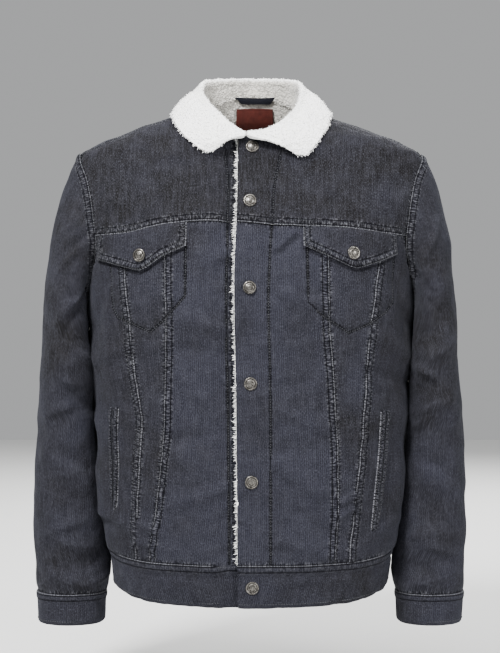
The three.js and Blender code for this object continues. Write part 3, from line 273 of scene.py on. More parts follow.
# The loop and the patch inside the neck.
LOOP_LEFT, LOOP_RIGHT, LOOP_TOP, LOOP_SLANT = 39.5, -25, 31.5, 9.5
LOOP_WIDTH, LOOP_WALL = 8.6, 1.6
PATCH_LEFT, PATCH_RIGHT, PATCH_TOP, PATCH_BOTTOM = 33.8, -22, 16, -25

# The camera of the photograph
CAMERA_PLACE = (-0.0014, -2.1, -0.292)
CAMERA_LENS = 84.5
CAMERA_SENSOR = 36
FLOOR_HEIGHT = -0.78
FLOOR_SIZE = 9

# Soft lights. Columns: name, place, size, power.
LIGHTS = [
    ("light_over_left", (-1.3, -2.1, 2.1), 0.8, 330),
    ("light_over_right", (2.3, -2.2, 0.5), 1.3, 115),
    ("light_above", (0.0, -0.5, 2.2), 1.2, 70),
    ("light_behind", (0.6, 2.4, 1.4), 1.6, 150),
]
LIGHTS_AIM = (0, 0, -0.3)
AIR_COLOUR = (0.86, 0.87, 0.88, 1.0)
AIR_STRENGTH = 0.5


def curve_through(rows, value=1, across=0):
    """A smooth curve through the rows of a table that never overshoots a row."""
    points = sorted((row[across], row[value]) for row in rows)
    x = np.array([p[0] for p in points], float)
    y = np.array([p[1] for p in points], float)
    rise = np.diff(y) / np.diff(x)
    slope = np.concatenate([rise[:1], np.zeros(len(x) - 2), rise[-1:]])
    before, after = rise[:-1], rise[1:]
    agree = before * after > 0
    slope[1:-1][agree] = (2 * before * after)[agree] / (before + after)[agree]

    def at(places):
        p = np.clip(np.asarray(places, float), x[0], x[-1])
        i = np.clip(np.searchsorted(x, p, side="right") - 1, 0, len(x) - 2)
        span = x[i + 1] - x[i]
        t = (p - x[i]) / span
        up = t * t * (3 - 2 * t)
        ease_in = t * (1 - t) ** 2 * span * slope[i]
        ease_out = t * t * (t - 1) * span * slope[i + 1]
        return y[i] * (1 - up) + y[i + 1] * up + ease_in + ease_out

    return at


half_width_at = curve_through(BODY_ROWS, 1)
front_depth_at = curve_through(BODY_ROWS, 2)
back_depth_at = curve_through(BODY_ROWS, 3)
yoke_seam_at = curve_through(YOKE_SEAM_ROWS)
front_edge_at = curve_through(FRONT_EDGE_ROWS)
waist_by_angle = curve_through(WAIST_SEAM_ROWS)
hem_by_angle = curve_through(HEM_ROWS)
placket_stitch_at = curve_through(PLACKET_STITCH_ROWS)
underlap_stitch_at = curve_through(UNDERLAP_STITCH_ROWS)


def signed_power(value, power):
    return np.sign(value) * np.abs(value) ** power


def smoothstep(value, low, high):
    t = np.clip((np.asarray(value, float) - low) / (high - low), 0, 1)
    return t * t * (3 - 2 * t)


def unit(vectors):
    return vectors / np.maximum(np.linalg.norm(vectors, axis=-1, keepdims=True), 1e-9)


def body_normal(x, y, z):
    """The outward normal of the body's section at a point on it."""
    step = 0.5
    power = SECTION_POWER
    width = half_width_at(z)
    depth = np.where(y < 0, front_depth_at(z), back_depth_at(z))
    width_rise = (half_width_at(z + step) - half_width_at(z - step)) / (2 * step)
    front_rise = (front_depth_at(z + step) - front_depth_at(z - step)) / (2 * step)
    back_rise = (back_depth_at(z + step) - back_depth_at(z - step)) / (2 * step)
    depth_rise = np.where(y < 0, front_rise, back_rise)
    across = signed_power(x, power - 1) / width ** power
    fore = signed_power(y, power - 1) / depth ** power
    up = -np.abs(x) ** power * width_rise / width ** (power + 1)
    up = up - np.abs(y) ** power * depth_rise / depth ** (power + 1)
    return unit(np.stack([across, fore, up], axis=-1))


def fold_height(x, z, back, folds):
    height = np.zeros(np.broadcast(x, z).shape)
    for fx, fz, to_x, to_z, width, rise, behind in folds:
        dx, dz = to_x - fx, to_z - fz
        t = np.clip(((x - fx) * dx + (z - fz) * dz) / (dx * dx + dz * dz), 0, 1)
        away = np.hypot(x - fx - t * dx, z - fz - t * dz) / width
        height += np.where(back == behind, rise * np.exp(-away * away), 0)
    return height


def body_point(angle, z, out=0.0, folds=MAIN_FOLDS):
    """Points of the body at angles round it, in radians, moved out along its normals."""
    angle, z = np.broadcast_arrays(np.asarray(angle, float), np.asarray(z, float))
    side, fore = np.sin(angle), np.cos(angle)
    depth = np.where(fore > 0, front_depth_at(z), back_depth_at(z))
    x = half_width_at(z) * signed_power(side, 2 / SECTION_POWER)
    y = -depth * signed_power(fore, 2 / SECTION_POWER)
    rise = out + fold_height(x, z, fore < 0, folds)
    return np.stack([x, y, z], axis=-1) + body_normal(x, y, z) * np.asarray(rise)[..., None]


def angle_at(x, z, back=False):
    share = np.minimum(1, np.abs(x) / half_width_at(z))
    angle = np.arcsin(share ** (SECTION_POWER / 2))
    turned = np.where(back, np.pi - angle, angle)
    return np.where(np.asarray(x) < 0, -turned, turned)


def places(x, z, back=False):
    """Angle and height of places across the front or the back."""
    x, z = np.broadcast_arrays(np.asarray(x, float), np.asarray(z, float))
    return np.stack([angle_at(x, z, back), z], axis=-1)


def ridge_height(x):
    """The height of the shoulder line above places across the body."""
    x = np.abs(np.asarray(x, float))
    low, high = np.full(x.shape, -80.0), np.full(x.shape, float(BODY_ROWS[0][0]))
    for _ in range(30):
        middle = (low + high) / 2
        wide = half_width_at(middle) > x
        low, high = np.where(wide, middle, low), np.where(wide, high, middle)
    return low


def over_shoulder(at):
    """Places as their distance across and their way over the ridge, below zero in front."""
    flat = body_point(at[..., 0], at[..., 1])
    drop = np.maximum(0, ridge_height(flat[..., 0]) - at[..., 1])
    way = np.sqrt(drop)
    return np.stack([flat[..., 0], np.where(np.cos(at[..., 0]) < 0, way, -way)], axis=-1)


def shoulder_point(x, over, out=0.0):
    z = ridge_height(x) - over * over
    return body_point(angle_at(x, z, over > 0), z, out)


def lap_depth(x):
    return LAP_DEPTH * np.clip((x - LAP_TURN_OUT) / (LAP_TURN_IN - LAP_TURN_OUT), 0, 1)


def lapped_body_point(angle, z, out=0.0):
    return body_point(angle, z, out - lap_depth(body_point(angle, z)[..., 0]))


def lapped_shoulder_point(x, over, out=0.0):
    z = ridge_height(x) - over * over
    return lapped_body_point(angle_at(x, z, over > 0), z, out)


def blend_edges(bottom, top, left, right):
    """A grid of places between four edges of places."""
    u = np.linspace(0, 1, len(bottom))[None, :, None]
    v = np.linspace(0, 1, len(left))[:, None, None]
    edges = (1 - v) * bottom[None] + v * top[None] + (1 - u) * left[:, None] + u * right[:, None]
    lower = (1 - u) * bottom[0] + u * bottom[-1]
    upper = (1 - u) * top[0] + u * top[-1]
    return edges - (1 - v) * lower - v * upper


def armhole_at(rows):
    """Places of the armhole by row of its table, which may lie between rows."""
    table = np.array(ARMHOLE_ROWS, float)
    count = len(table)
    rows = np.asarray(rows, float)
    i = np.floor(rows).astype(int)
    t = (rows - i)[..., None]
    p0, p1, p2, p3 = (table[(i + n) % count] for n in (-1, 0, 1, 2))
    curve = 2 * p1 + (p2 - p0) * t + (2 * p0 - 5 * p1 + 4 * p2 - p3) * t ** 2
    curve = (curve + (3 * p1 - p0 - 3 * p2 + p3) * t ** 3) / 2
    return np.stack([np.radians(curve[..., 0]), curve[..., 1]], axis=-1)


def mirrored(at, side):
    return at * np.array([side, 1.0])


def straight(start, end, steps):
    t = np.linspace(0, 1, steps + 1)[:, None]
    return (1 - t) * np.asarray(start, float) + t * np.asarray(end, float)


def through_knots(knots, steps):
    """Values between knots, with the same number of steps from each to the next."""
    knots = np.asarray(knots, float)
    at = np.linspace(0, len(knots) - 1, (len(knots) - 1) * steps + 1)
    if knots.ndim == 1:
        return np.interp(at, np.arange(len(knots)), knots)
    columns = [np.interp(at, np.arange(len(knots)), knots[:, n]) for n in range(knots.shape[1])]
    return np.stack(columns, axis=-1)


# Smooth seeded noise, from -1 to 1

def wavy(values, pitch, seed):
    table = np.random.default_rng(seed).uniform(-1, 1, 997)
    t = np.asarray(values, float) / pitch
    i = np.floor(t).astype(int)
    f = t - i
    f = f * f * (3 - 2 * f)
    return table[i % 997] * (1 - f) + table[(i + 1) % 997] * f


def lumpy(points, pitch, seed):
    table = np.random.default_rng(seed).uniform(-1, 1, 4096)
    t = np.asarray(points, float) / pitch
    cell = np.floor(t).astype(int)
    f = t - cell
    f = f * f * (3 - 2 * f)
    total = 0
    for corner in range(8):
        step = np.array([corner & 1, corner >> 1 & 1, corner >> 2 & 1])
        c = cell + step
        key = (c[..., 0] * 73856093) ^ (c[..., 1] * 19349663) ^ (c[..., 2] * 83492791)
        weight = np.prod(np.where(step, f, 1 - f), axis=-1)
        total = total + table[key % 4096] * weight
    return total


def nearest_on(line, points, normals=None):
    """How far points are from a line, how far along it, and on which side of it."""
    start, step = line[:-1], np.diff(line, axis=0)
    square = np.maximum((step ** 2).sum(axis=1), 1e-9)
    begun = np.concatenate([[0], np.cumsum(np.sqrt(square))])[:-1]
    flat = points.reshape(-1, 3)
    ways = np.zeros(flat.shape) if normals is None else normals.reshape(-1, 3)
    far, along, side = (np.empty(len(flat)) for _ in range(3))
    for low in range(0, len(flat), 4000):
        part = slice(low, low + 4000)
        away = flat[part, None] - start[None]
        t = np.clip((away * step).sum(axis=2) / square, 0, 1)
        gap = np.linalg.norm(away - t[..., None] * step, axis=2)
        i = gap.argmin(axis=1)
        row = np.arange(len(i))
        far[part] = gap[row, i]
        along[part] = begun[i] + t[row, i] * np.sqrt(square[i])
        side[part] = np.sign((np.cross(step[i], away[row, i]) * ways[part]).sum(axis=1) + 1e-9)
    return tuple(values.reshape(points.shape[:-1]) for values in (far, along, side))


def grid_normals(grid, wraps=False, away=None):
    """Normals of a grid of points, turned as one to point away from its centre, or as away does."""
    if wraps:
        across = np.roll(grid, -1, axis=1) - np.roll(grid, 1, axis=1)
    else:
        across = np.gradient(grid, axis=1)
    normals = unit(np.cross(across, np.gradient(grid, axis=0)))
    if away is None:
        away = grid - grid.reshape(-1, 3).mean(axis=0)
    sense = (normals * unit(away)).sum()
    return normals if sense > 0 else -normals


def body_outward(grid):
    """Normals of a grid on the body that point away from its middle line."""
    return grid_normals(grid, away=grid * np.array([1, 1, 0]))


def body_outward_up(grid):
    """Normals of a grid over the shoulders: outwards and upwards."""
    return grid_normals(grid, away=grid * np.array([0.5, 1, 0]) + np.array([0, 0, 120.0]))


# Sewing: how a seam or a row of stitches shapes the cloth beside it

# The last kind is a line of painted shadow: it darkens the cloth beside it and leaves its shape alone.
OVER, UNDER, LINE, EDGE, FOLD, PAINTED_SHADOW = "over", "under", "line", "edge", "fold", "dusk"
SEAM_BAND = 9.0
NEAR_ROW, FAR_ROW = 1.9, 8.4
NO_SEAM = 60.0

# How high the cloth rises beside a seam, and between which distances from it that fades.
SEAM_RISES = {OVER: (1.0, SEAM_BAND - 1.5, SEAM_BAND + 2), EDGE: (0.5, 5, 8)}
# How deep the cloth dips at a seam, and how wide the dip is.
SEAM_DIPS = {EDGE: (0.8, 1.6), UNDER: (0.5, 3.5), FOLD: (0.9, 1.8), LINE: (0.9, 2.8)}


def dressed(grid, normals, seams, uneven=1.0):
    """Moves a grid for its seams, and gives the marks that the cloth's material reads.

    The unevenness depends on place and line alone, so pieces still meet where they are sewn.
    """
    height = uneven * (1.8 * lumpy(grid, 44, 100) + 0.9 * lumpy(grid, 18, 101))
    shape = grid.shape[:-1]
    band, pull, row, under = (np.full(shape, NO_SEAM) for _ in range(4))
    along = np.zeros(shape)
    for n, (line, kind) in enumerate(seams):
        far, way, side = nearest_on(line, grid, normals)
        seed = int(7 * np.abs(line[0]).sum())
        ruck = wavy(way, 7.5, seed) + 1.1 * wavy(way, 16, seed + 5)
        if kind != PAINTED_SHADOW:
            height += 0.85 * uneven * ruck * np.exp(-(far / 10.0) ** 2)
        if kind in SEAM_RISES:
            rise, start, end = SEAM_RISES[kind]
            height += rise * (1 - smoothstep(far, start, end))
        if kind in SEAM_DIPS:
            depth, width = SEAM_DIPS[kind]
            height -= depth * np.exp(-(far / width) ** 2)
        if kind == LINE:
            row = np.where(far < np.abs(row), far * side, row)
        if kind not in (FOLD, PAINTED_SHADOW):
            reach = far * (2 if kind == LINE else 1)
            along = np.where(reach < pull, way + 1000 * n, along)
            pull = np.minimum(pull, reach)
        if kind in (OVER, EDGE):
            band = np.minimum(band, far)
        # The under mark is the distance to the under side of seams and to painted-shadow lines; the corduroy
        # paints shadow beside them.
        if kind in (UNDER, PAINTED_SHADOW):
            under = np.minimum(under, far)
    marks = {"band": band, "pull": pull, "along": along, "row": row, "under": under}
    return grid + normals * height[..., None], marks


def cloth_uv(grid):
    """Metres across from the middle column, and metres up, so that wales keep their pitch."""
    across = np.linalg.norm(np.diff(grid, axis=1), axis=2)
    u = np.concatenate([np.zeros((len(grid), 1)), np.cumsum(across, axis=1)], axis=1)
    u -= u[:, u.shape[1] // 2][:, None]
    up = np.linalg.norm(np.diff(grid, axis=0), axis=2)
    v = np.concatenate([np.zeros((1, grid.shape[1])), np.cumsum(up, axis=0)], axis=0)
    return np.stack([u, v], axis=-1) * MM


def new_object(name, vertices, faces, materials, face_material=None, sharp=55):
    mesh = bpy.data.meshes.new(name)
    mesh.from_pydata(np.asarray(vertices) * MM, [], np.asarray(faces).tolist())
    for material in materials:
        mesh.materials.append(material)
    if face_material is not None:
        mesh.polygons.foreach_set("material_index", np.asarray(face_material, np.int32))
    mesh.shade_smooth()
    mesh.update()
    if sharp:
        mesh.set_sharp_from_angle(angle=math.radians(sharp))
    made = bpy.data.objects.new(name, mesh)
    bpy.context.scene.collection.objects.link(made)
    return made


def point_mark(piece, name, values):
    """Stores one number at each point of a piece, for its material to read."""
    store = piece.data.attributes.new(name, "FLOAT", "POINT")
    store.data.foreach_set("value", np.asarray(values, np.float32))


def wall_object(name, outer, inner, materials, marks=None, brown_cast_and_shade=0.0, wraps=False, uv=None):
    """A closed wall between two grids: a sheet of cloth with its right side and its wrong side."""
    closing = 1 if wraps else 0
    if wraps:
        outer = np.concatenate([outer, outer[:, :1]], axis=1)
    rows, columns = outer.shape[:2]
    uv = cloth_uv(outer) if uv is None else uv
    real = columns - closing
    number = np.arange(rows)[:, None] * real + (np.arange(columns) % real)[None]
    total = rows * real
    corner = np.arange(rows)[:, None] * columns + np.arange(columns)[None]

    def quads(a, b, c, d):
        return np.stack([a, b, c, d], axis=-1).reshape(-1, 4)

    def cells(of):
        return of[:-1, :-1], of[:-1, 1:], of[1:, 1:], of[1:, :-1]

    a, b, c, d = cells(number)
    face_list = [quads(a, b, c, d), quads(a + total, d + total, c + total, b + total)]
    a, b, c, d = cells(corner)
    uv_list = [quads(a, b, c, d), quads(a, d, c, b)]
    rims = [(number[0], corner[0], False), (number[-1], corner[-1], True)]
    if not wraps:
        rims += [(number[:, 0], corner[:, 0], True), (number[:, -1], corner[:, -1], False)]
    for line, marked, turned in rims:
        a, b = line[:-1], line[1:]
        m, n = marked[:-1], marked[1:]
        if turned:
            face_list.append(quads(a, b, b + total, a + total))
            uv_list.append(quads(m, n, n, m))
        else:
            face_list.append(quads(a, a + total, b + total, b))
            uv_list.append(quads(m, m, n, n))
    faces = np.concatenate(face_list)
    loops = np.concatenate(uv_list).ravel()
    front = outer[:, :real].reshape(-1, 3)
    vertices = np.concatenate([front, inner.reshape(-1, 3)])
    p = vertices[faces]
    volume = (p[:, 0] * np.cross(p[:, 1], p[:, 2])).sum() + (p[:, 0] * np.cross(p[:, 2], p[:, 3])).sum()
    if volume < 0:
        faces = faces[:, ::-1]
        loops = loops.reshape(-1, 4)[:, ::-1].ravel()
    wrong_side = np.zeros(len(faces), np.int32)
    cell_count = (rows - 1) * (columns - 1)
    wrong_side[cell_count:2 * cell_count] = len(materials) - 1
    made = new_object(f"sewn_{name}", vertices, faces, materials, wrong_side)
    layer = made.data.uv_layers.new(name="UVMap")
    layer.data.foreach_set("uv", uv.reshape(-1, 2)[loops].ravel())
    for mark, values in (marks or {}).items():
        point_mark(made, mark, np.tile(values[:, :real].ravel(), 2))
    point_mark(made, "brown_cast_and_shade", np.full(len(vertices), brown_cast_and_shade))
    return made


def carried(piece, slot, *nodes):
    """Puts a piece on the jacket in place of its solids. Its finish, slot, is not used."""
    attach(piece, "root")
    if nodes:
        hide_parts(*nodes)
    return piece


def sewn_piece(name, grid, normals, seams, wall=CLOTH_WALL, brown_cast_and_shade=0.0, lining="pile",
               wraps=False, uneven=1.0, upright=False):
    """One cut piece of the jacket, dressed for its seams."""
    outer, marks = dressed(grid, normals, seams, uneven)
    marks["calm"] = np.full(outer.shape[:2], 1.6 * (1 - uneven))
    inner = outer - normals * wall
    uv = cloth_uv(np.concatenate([outer, outer[:, :1]], axis=1) if wraps else outer)
    if upright:
        uv[..., 0] = outer[..., 0] * MM
    materials = [finish("corduroy"), finish(lining)]
    made = wall_object(name, outer, inner, materials, marks, brown_cast_and_shade, wraps, uv)
    carried(made, "corduroy", name)


# The seams of the body, as fine lines of points

BODY_STEPS = 190
CENTRE_STEPS = 12
MIDDLE_STEPS = 14
SIDE_STEPS = 9
YOKE_STEPS = 8
YOKE_ROW_STEPS = 8
BACK_NECK_STEPS = 6
BACK_YOKE_ROWS = 63
BACK_PANEL_ROWS = 110
BACK_SEAM_STEPS = 100
UNDER_BACK_STEPS = 24
LINING_FIRST_COLUMN = 5 * BACK_NECK_STEPS
LINING_FIRST_ROW = 24
SLEEVE_COLUMNS = 128
HEAD_ROWS = 56
ARM_ROWS = 104
COLLAR_COLUMNS = 92
COLLAR_STEPS = 7


def front_seams(side):
    inner = curve_through(VEE_SEAM_ROWS[(side, "inner")])
    outer = curve_through(VEE_SEAM_ROWS[(side, "outer")])

    def line(x_at):
        foot = waist_by_angle(np.degrees(np.abs(angle_at(x_at(-600.0), -600.0))))
        head = yoke_seam_at(x_at(-165.0))
        z = np.linspace(foot, head, BODY_STEPS + 1)
        return places(x_at(z), z)

    edge = front_edge_at if side > 0 else lambda z: np.full(np.shape(z), float(LAP_END))
    z = np.linspace(waist_by_angle(90), ARMHOLE_ROWS[UNDERARM][1], BODY_STEPS + 1)
    return {
        "edge": line(edge),
        "inner": line(lambda z: side * inner(z)),
        "outer": line(lambda z: side * outer(z)),
        "side": np.stack([np.full(z.shape, side * np.pi / 2), z], axis=-1),
    }


def x_of(place):
    return float(body_point(place[0], place[1])[0])


def along_yoke(start, end, steps):
    x = np.linspace(x_of(start), x_of(end), steps + 1)
    line = places(x, yoke_seam_at(x))
    line[0], line[-1] = start, end
    return line


def along_waist(start, end, steps):
    x = np.linspace(x_of(start), x_of(end), steps + 1)
    z = waist_by_angle(np.degrees(np.abs(angle_at(x, -600.0))))
    line = places(x, z)
    line[0], line[-1] = start, end
    return line


def front_layout(side):
    """The places of one front's panels and yoke, and the lines that they are sewn along."""
    seams = front_seams(side)
    corner = mirrored(armhole_at(FRONT_YOKE_CORNER), side)
    centre_top = along_yoke(seams["edge"][-1], seams["inner"][-1], 5 * CENTRE_STEPS)
    centre_low = along_waist(seams["edge"][0], seams["inner"][0], 5 * CENTRE_STEPS)
    middle_top = along_yoke(seams["inner"][-1], seams["outer"][-1], 2 * MIDDLE_STEPS)
    middle_low = along_waist(seams["inner"][0], seams["outer"][0], 2 * MIDDLE_STEPS)
    side_top = along_yoke(seams["outer"][-1], corner, 2 * SIDE_STEPS)
    arm_rows = np.linspace(FRONT_YOKE_CORNER, UNDERARM, 5 * SIDE_STEPS + 1)
    under_arm = mirrored(armhole_at(arm_rows), side)
    whole_side_top = np.concatenate([side_top, under_arm[1:]])
    low_angles = np.linspace(seams["outer"][0][0], side * np.pi / 2, len(whole_side_top))
    side_low = np.stack([low_angles, waist_by_angle(np.degrees(np.abs(low_angles)))], axis=-1)
    side_low[0] = seams["outer"][0]
    panels = {
        "front_centre": blend_edges(centre_low, centre_top, seams["edge"], seams["inner"]),
        "front_middle": blend_edges(middle_low, middle_top, seams["inner"], seams["outer"]),
        "front_side": blend_edges(side_low, whole_side_top, seams["outer"], seams["side"]),
    }
    return seams, panels, front_yoke_places(side, seams, corner)


def front_yoke_places(side, seams, corner):
    bottom = np.concatenate([
        along_yoke(seams["edge"][-1], seams["inner"][-1], 5 * YOKE_STEPS),
        along_yoke(seams["inner"][-1], seams["outer"][-1], 2 * YOKE_STEPS)[1:],
        along_yoke(seams["outer"][-1], corner, 2 * YOKE_STEPS)[1:],
    ])
    bottom = over_shoulder(bottom)
    neck_at = curve_through([row for row in NECK_ROWS if not row[2]])
    end = NECK_ROWS[SHOULDER_ROW][0]
    start = float(front_edge_at(-44.0))
    left_knots = [start, 4, 26, 48, 64, end]
    right_knots = [LAP_END, -8, LAP_TURN_IN, LAP_TURN_OUT, -66, -end]
    knots = left_knots if side > 0 else right_knots
    x = through_knots(knots, YOKE_STEPS)
    neck = over_shoulder(places(x, neck_at(np.abs(x))))
    top = np.concatenate([neck[:-1], shoulder_seam(side, YOKE_STEPS)])
    rows = FRONT_YOKE_CORNER * YOKE_ROW_STEPS
    arm = over_shoulder(mirrored(armhole_at(np.linspace(FRONT_YOKE_CORNER, 0, rows + 1)), side))
    t = np.linspace(0, 1, rows + 1)
    across = front_edge_at(-156 + 112 * t) if side > 0 else np.full(rows + 1, float(LAP_END))
    edge = np.stack([across, bottom[0, 1] + (neck[0, 1] - bottom[0, 1]) * t], axis=-1)
    edge[0], edge[-1] = bottom[0], neck[0]
    top[0], top[-1] = neck[0], arm[-1]
    arm[0] = bottom[-1]
    return blend_edges(bottom, top, edge, arm)


def shoulder_seam(side, steps):
    x, z, _ = NECK_ROWS[SHOULDER_ROW]
    at_neck = over_shoulder(places(side * x, z))
    at_arm = over_shoulder(mirrored(armhole_at(0), side))
    return straight(at_neck, at_arm, 4 * steps)


def back_layout():
    """The places of the back yoke and the back panel."""
    steps = BACK_NECK_STEPS
    neck = [over_shoulder(places(x, z, back)) for x, z, back in NECK_ROWS[SHOULDER_ROW:]]
    index = list(range(len(neck)))
    fine = np.linspace(0, index[-1], index[-1] * steps + 1)
    across = curve_through([(i, p[0]) for i, p in zip(index, neck)])(fine)
    over = curve_through([(i, p[1]) for i, p in zip(index, neck)])(fine)
    left_neck = np.stack([across, over], axis=-1)
    right_neck = (left_neck * np.array([-1, 1]))[::-1]
    top = np.concatenate([
        shoulder_seam(1, steps)[::-1][:-1], left_neck, right_neck[1:], shoulder_seam(-1, steps)[1:],
    ])
    corner = armhole_at(BACK_YOKE_CORNER)
    half = x_of(corner)
    seam = places(np.linspace(half, -half, len(top)), corner[1], True)
    arm_rows = np.linspace(BACK_YOKE_CORNER, len(ARMHOLE_ROWS), BACK_YOKE_ROWS + 1)
    left = over_shoulder(armhole_at(arm_rows))
    right = over_shoulder(mirrored(armhole_at(arm_rows), -1))
    bottom = over_shoulder(seam)
    top[0], top[-1] = left[-1], right[-1]
    left[0], right[0] = bottom[0], bottom[-1]
    yoke = blend_edges(bottom, top, left, right)

    under = armhole_at(np.linspace(UNDERARM, BACK_YOKE_CORNER, UNDER_BACK_STEPS + 1))
    seam = places(np.linspace(half, -half, BACK_SEAM_STEPS + 1), corner[1], True)
    panel_top = np.concatenate([under[:-1], seam, mirrored(under, -1)[::-1][1:]])
    panel_top[:, 0] = np.where(panel_top[:, 0] < 0, panel_top[:, 0] + 2 * np.pi, panel_top[:, 0])
    angles = np.linspace(np.pi / 2, 1.5 * np.pi, len(panel_top))
    low = np.stack([angles, waist_by_angle(turn_from_front(angles))], axis=-1)
    z = np.linspace(low[0, 1], panel_top[0, 1], BACK_PANEL_ROWS + 1)
    left = np.stack([np.full(z.shape, np.pi / 2), z], axis=-1)
    right = np.stack([np.full(z.shape, 1.5 * np.pi), z], axis=-1)
    return yoke, blend_edges(low, panel_top, left, right)


def turn_from_front(angle):
    turn = np.degrees(angle)
    return np.where(turn > 180, 360 - turn, np.abs(turn))


def front_point(side):
    """What turns places into points on one front: the right one runs on under the left."""
    return body_point if side > 0 else lapped_body_point


def front_curve(line, side):
    return front_point(side)(line[:, 0], line[:, 1])


def on_front(rows, side=1):
    """A line of points on the front through a table of places across and heights."""
    table = through_knots(rows, 6)
    return front_curve(places(table[:, 0], table[:, 1]), side)


def down_front(x_at, low, high, side=1):
    z = np.linspace(low, high, 140)
    return front_point(side)(angle_at(x_at(z), z), z)


def armhole_line(side):
    at = mirrored(armhole_at(np.linspace(0, len(ARMHOLE_ROWS), 180)), side)
    return body_point(at[:, 0], at[:, 1])


def waist_line():
    angles = np.linspace(-np.pi, np.pi, 320)
    return body_point(angles, waist_by_angle(np.degrees(np.abs(angles))))


def hem_line():
    angles = np.linspace(-np.pi, np.pi, 320)
    return body_point(angles, hem_by_angle(np.degrees(np.abs(angles))))


def yoke_line(side):
    seams = front_seams(side)
    corner = mirrored(armhole_at(FRONT_YOKE_CORNER), side)
    return front_curve(along_yoke(seams["edge"][-1], corner, 90), side)


def back_yoke_line():
    corner = armhole_at(BACK_YOKE_CORNER)
    half = x_of(corner)
    at = places(np.linspace(half, -half, 140), corner[1], True)
    return body_point(at[:, 0], at[:, 1])


def shoulder_line(side):
    at = shoulder_seam(side, 12)
    return shoulder_point(at[:, 0], at[:, 1])


def neck_line(side):
    points = np.array([body_point(side * angle_at(x, z, back), z) for x, z, back in NECK_ROWS])
    return through_points(points, 16)


def through_points(points, steps):
    """A smooth line through points, with the same number of steps between each two."""
    padded = np.concatenate([2 * points[:1] - points[1:2], points, 2 * points[-1:] - points[-2:-1]])
    made = []
    for i in range(len(points) - 1):
        p0, p1, p2, p3 = padded[i:i + 4]
        t = np.linspace(0, 1, steps + 1)[:-1].reshape((-1,) + (1,) * (points.ndim - 1))
        curve = 2 * p1 + (p2 - p0) * t + (2 * p0 - 5 * p1 + 4 * p2 - p3) * t ** 2
        made.append((curve + (3 * p1 - p0 - 3 * p2 + p3) * t ** 3) / 2)
    return np.concatenate(made + [points[-1:]])


# Sleeves

def sleeve_column(key, z):
    column = {"right": 1, "left": 2, "inner": 3, "front": 4, "back": 5}[key]
    return curve_through(SLEEVE_ROWS, column)(z)


def sleeve_section(side, z, around):
    outer = sleeve_column("left" if side > 0 else "right", z)
    inner, front, back = (sleeve_column(key, z) for key in ("inner", "front", "back"))
    turn = np.radians(around)
    out = signed_power(np.cos(turn), 2 / SLEEVE_POWER)
    fore = signed_power(np.sin(turn), 2 / SLEEVE_POWER)
    x = side * ((outer + inner) / 2 + (outer - inner) / 2 * out)
    y = (front + back) / 2 - (back - front) / 2 * fore
    return np.stack(np.broadcast_arrays(x, y, z), axis=-1)


def around_armhole(at):
    p = body_point(np.abs(at[..., 0]), at[..., 1])
    turn = np.degrees(np.arctan2(-p[..., 1] / 70, (p[..., 2] + 168) / 112))
    return np.where(turn < 0, turn + 360, turn)


def clear_of_body(points, side, travelled):
    room = SLEEVE_CLEARANCE * np.minimum(1, 0.35 + travelled / 30) + 1.5
    y, z = points[..., 1], points[..., 2]
    depth = np.where(y < 0, front_depth_at(z), back_depth_at(z)) + room
    share = np.minimum(1, np.abs(y) / depth)
    reach = (half_width_at(z) + room) * (1 - share ** SECTION_POWER) ** (1 / SECTION_POWER)
    out = np.abs(points[..., 0])
    soft = 4
    eased = reach + np.where(out > reach - soft, (out - reach + soft) ** 2 / (4 * soft), 0)
    clear = np.where(out > reach + soft, out, np.maximum(reach, eased))
    return np.stack([side * clear, y, z], axis=-1)


def sleeve_fold_height(side, z, around, folds):
    height = np.zeros(z.shape)
    for fold_side, fz, fold_around, slope, width, spread, rise in folds:
        if fold_side != side:
            continue
        turn = around - fold_around
        away = (z - fz + slope * turn) / width
        off = turn / spread
        height += rise * np.exp(-away * away - off * off)
    return height


def sleeve_columns():
    """Places of the armhole where a sleeve's columns start. The first is under the arm."""
    return armhole_at(UNDERARM + np.linspace(0, len(ARMHOLE_ROWS), SLEEVE_COLUMNS + 1)[:-1])


def sleeve_grid(side):
    """Points of a sleeve, in rows down from the armhole."""
    at = sleeve_columns()
    around = around_armhole(at)
    under = (1 - np.cos(np.radians(around))) / 2
    start = body_point(side * at[:, 0], at[:, 1], 0.9 * under)
    leave = unit(np.stack([
        side * curve_through(SLEEVE_HEAD_ROWS, 1)(around),
        curve_through(SLEEVE_HEAD_ROWS, 2)(around),
        curve_through(SLEEVE_HEAD_ROWS, 3)(around),
    ], axis=-1))
    end = sleeve_section(side, float(SLEEVE_TOP), around)
    length = np.linalg.norm(end - start, axis=1)[:, None]
    first = start + leave * HEAD_REACH * length
    second = end + np.array([0, 0, 1.0]) * HEAD_FALL * length
    t = np.linspace(0, 1, HEAD_ROWS + 1)[:, None, None]
    head = (1 - t) ** 3 * start + 3 * (1 - t) ** 2 * t * first + 3 * (1 - t) * t * t * second + t ** 3 * end
    travelled = (t * length)[..., 0]
    head = np.where(t > 0, clear_of_body(head, side, travelled), head)
    z = np.linspace(SLEEVE_TOP, CUFF_TOP, ARM_ROWS + 1)[1:, None]
    arm = clear_of_body(sleeve_section(side, z, around[None]), side, 100.0)
    grid = np.concatenate([head, arm])
    normals = grid_normals(grid, True)
    reach = np.broadcast_to(around[None], grid.shape[:2])
    fade = smoothstep(np.arange(len(grid)), 0, 14)[:, None]
    height = 1.2 * sleeve_fold_height(side, grid[..., 2], reach, SLEEVE_FOLDS)
    height += 2.6 * sleeve_fold_height(side, grid[..., 2], reach, SMALL_SLEEVE_FOLDS)
    height *= fade
    return grid + normals * height[..., None]


# The collar

def resting_depth(x, z, back, rest):
    depth_at = back_depth_at if back else front_depth_at
    share = np.minimum(1, np.abs(x) / half_width_at(z - rest - 0.5))
    y = (depth_at(z - rest * 0.6) + rest * 0.8) * (1 - share ** SECTION_POWER) ** (1 / SECTION_POWER)
    return y if back else -y


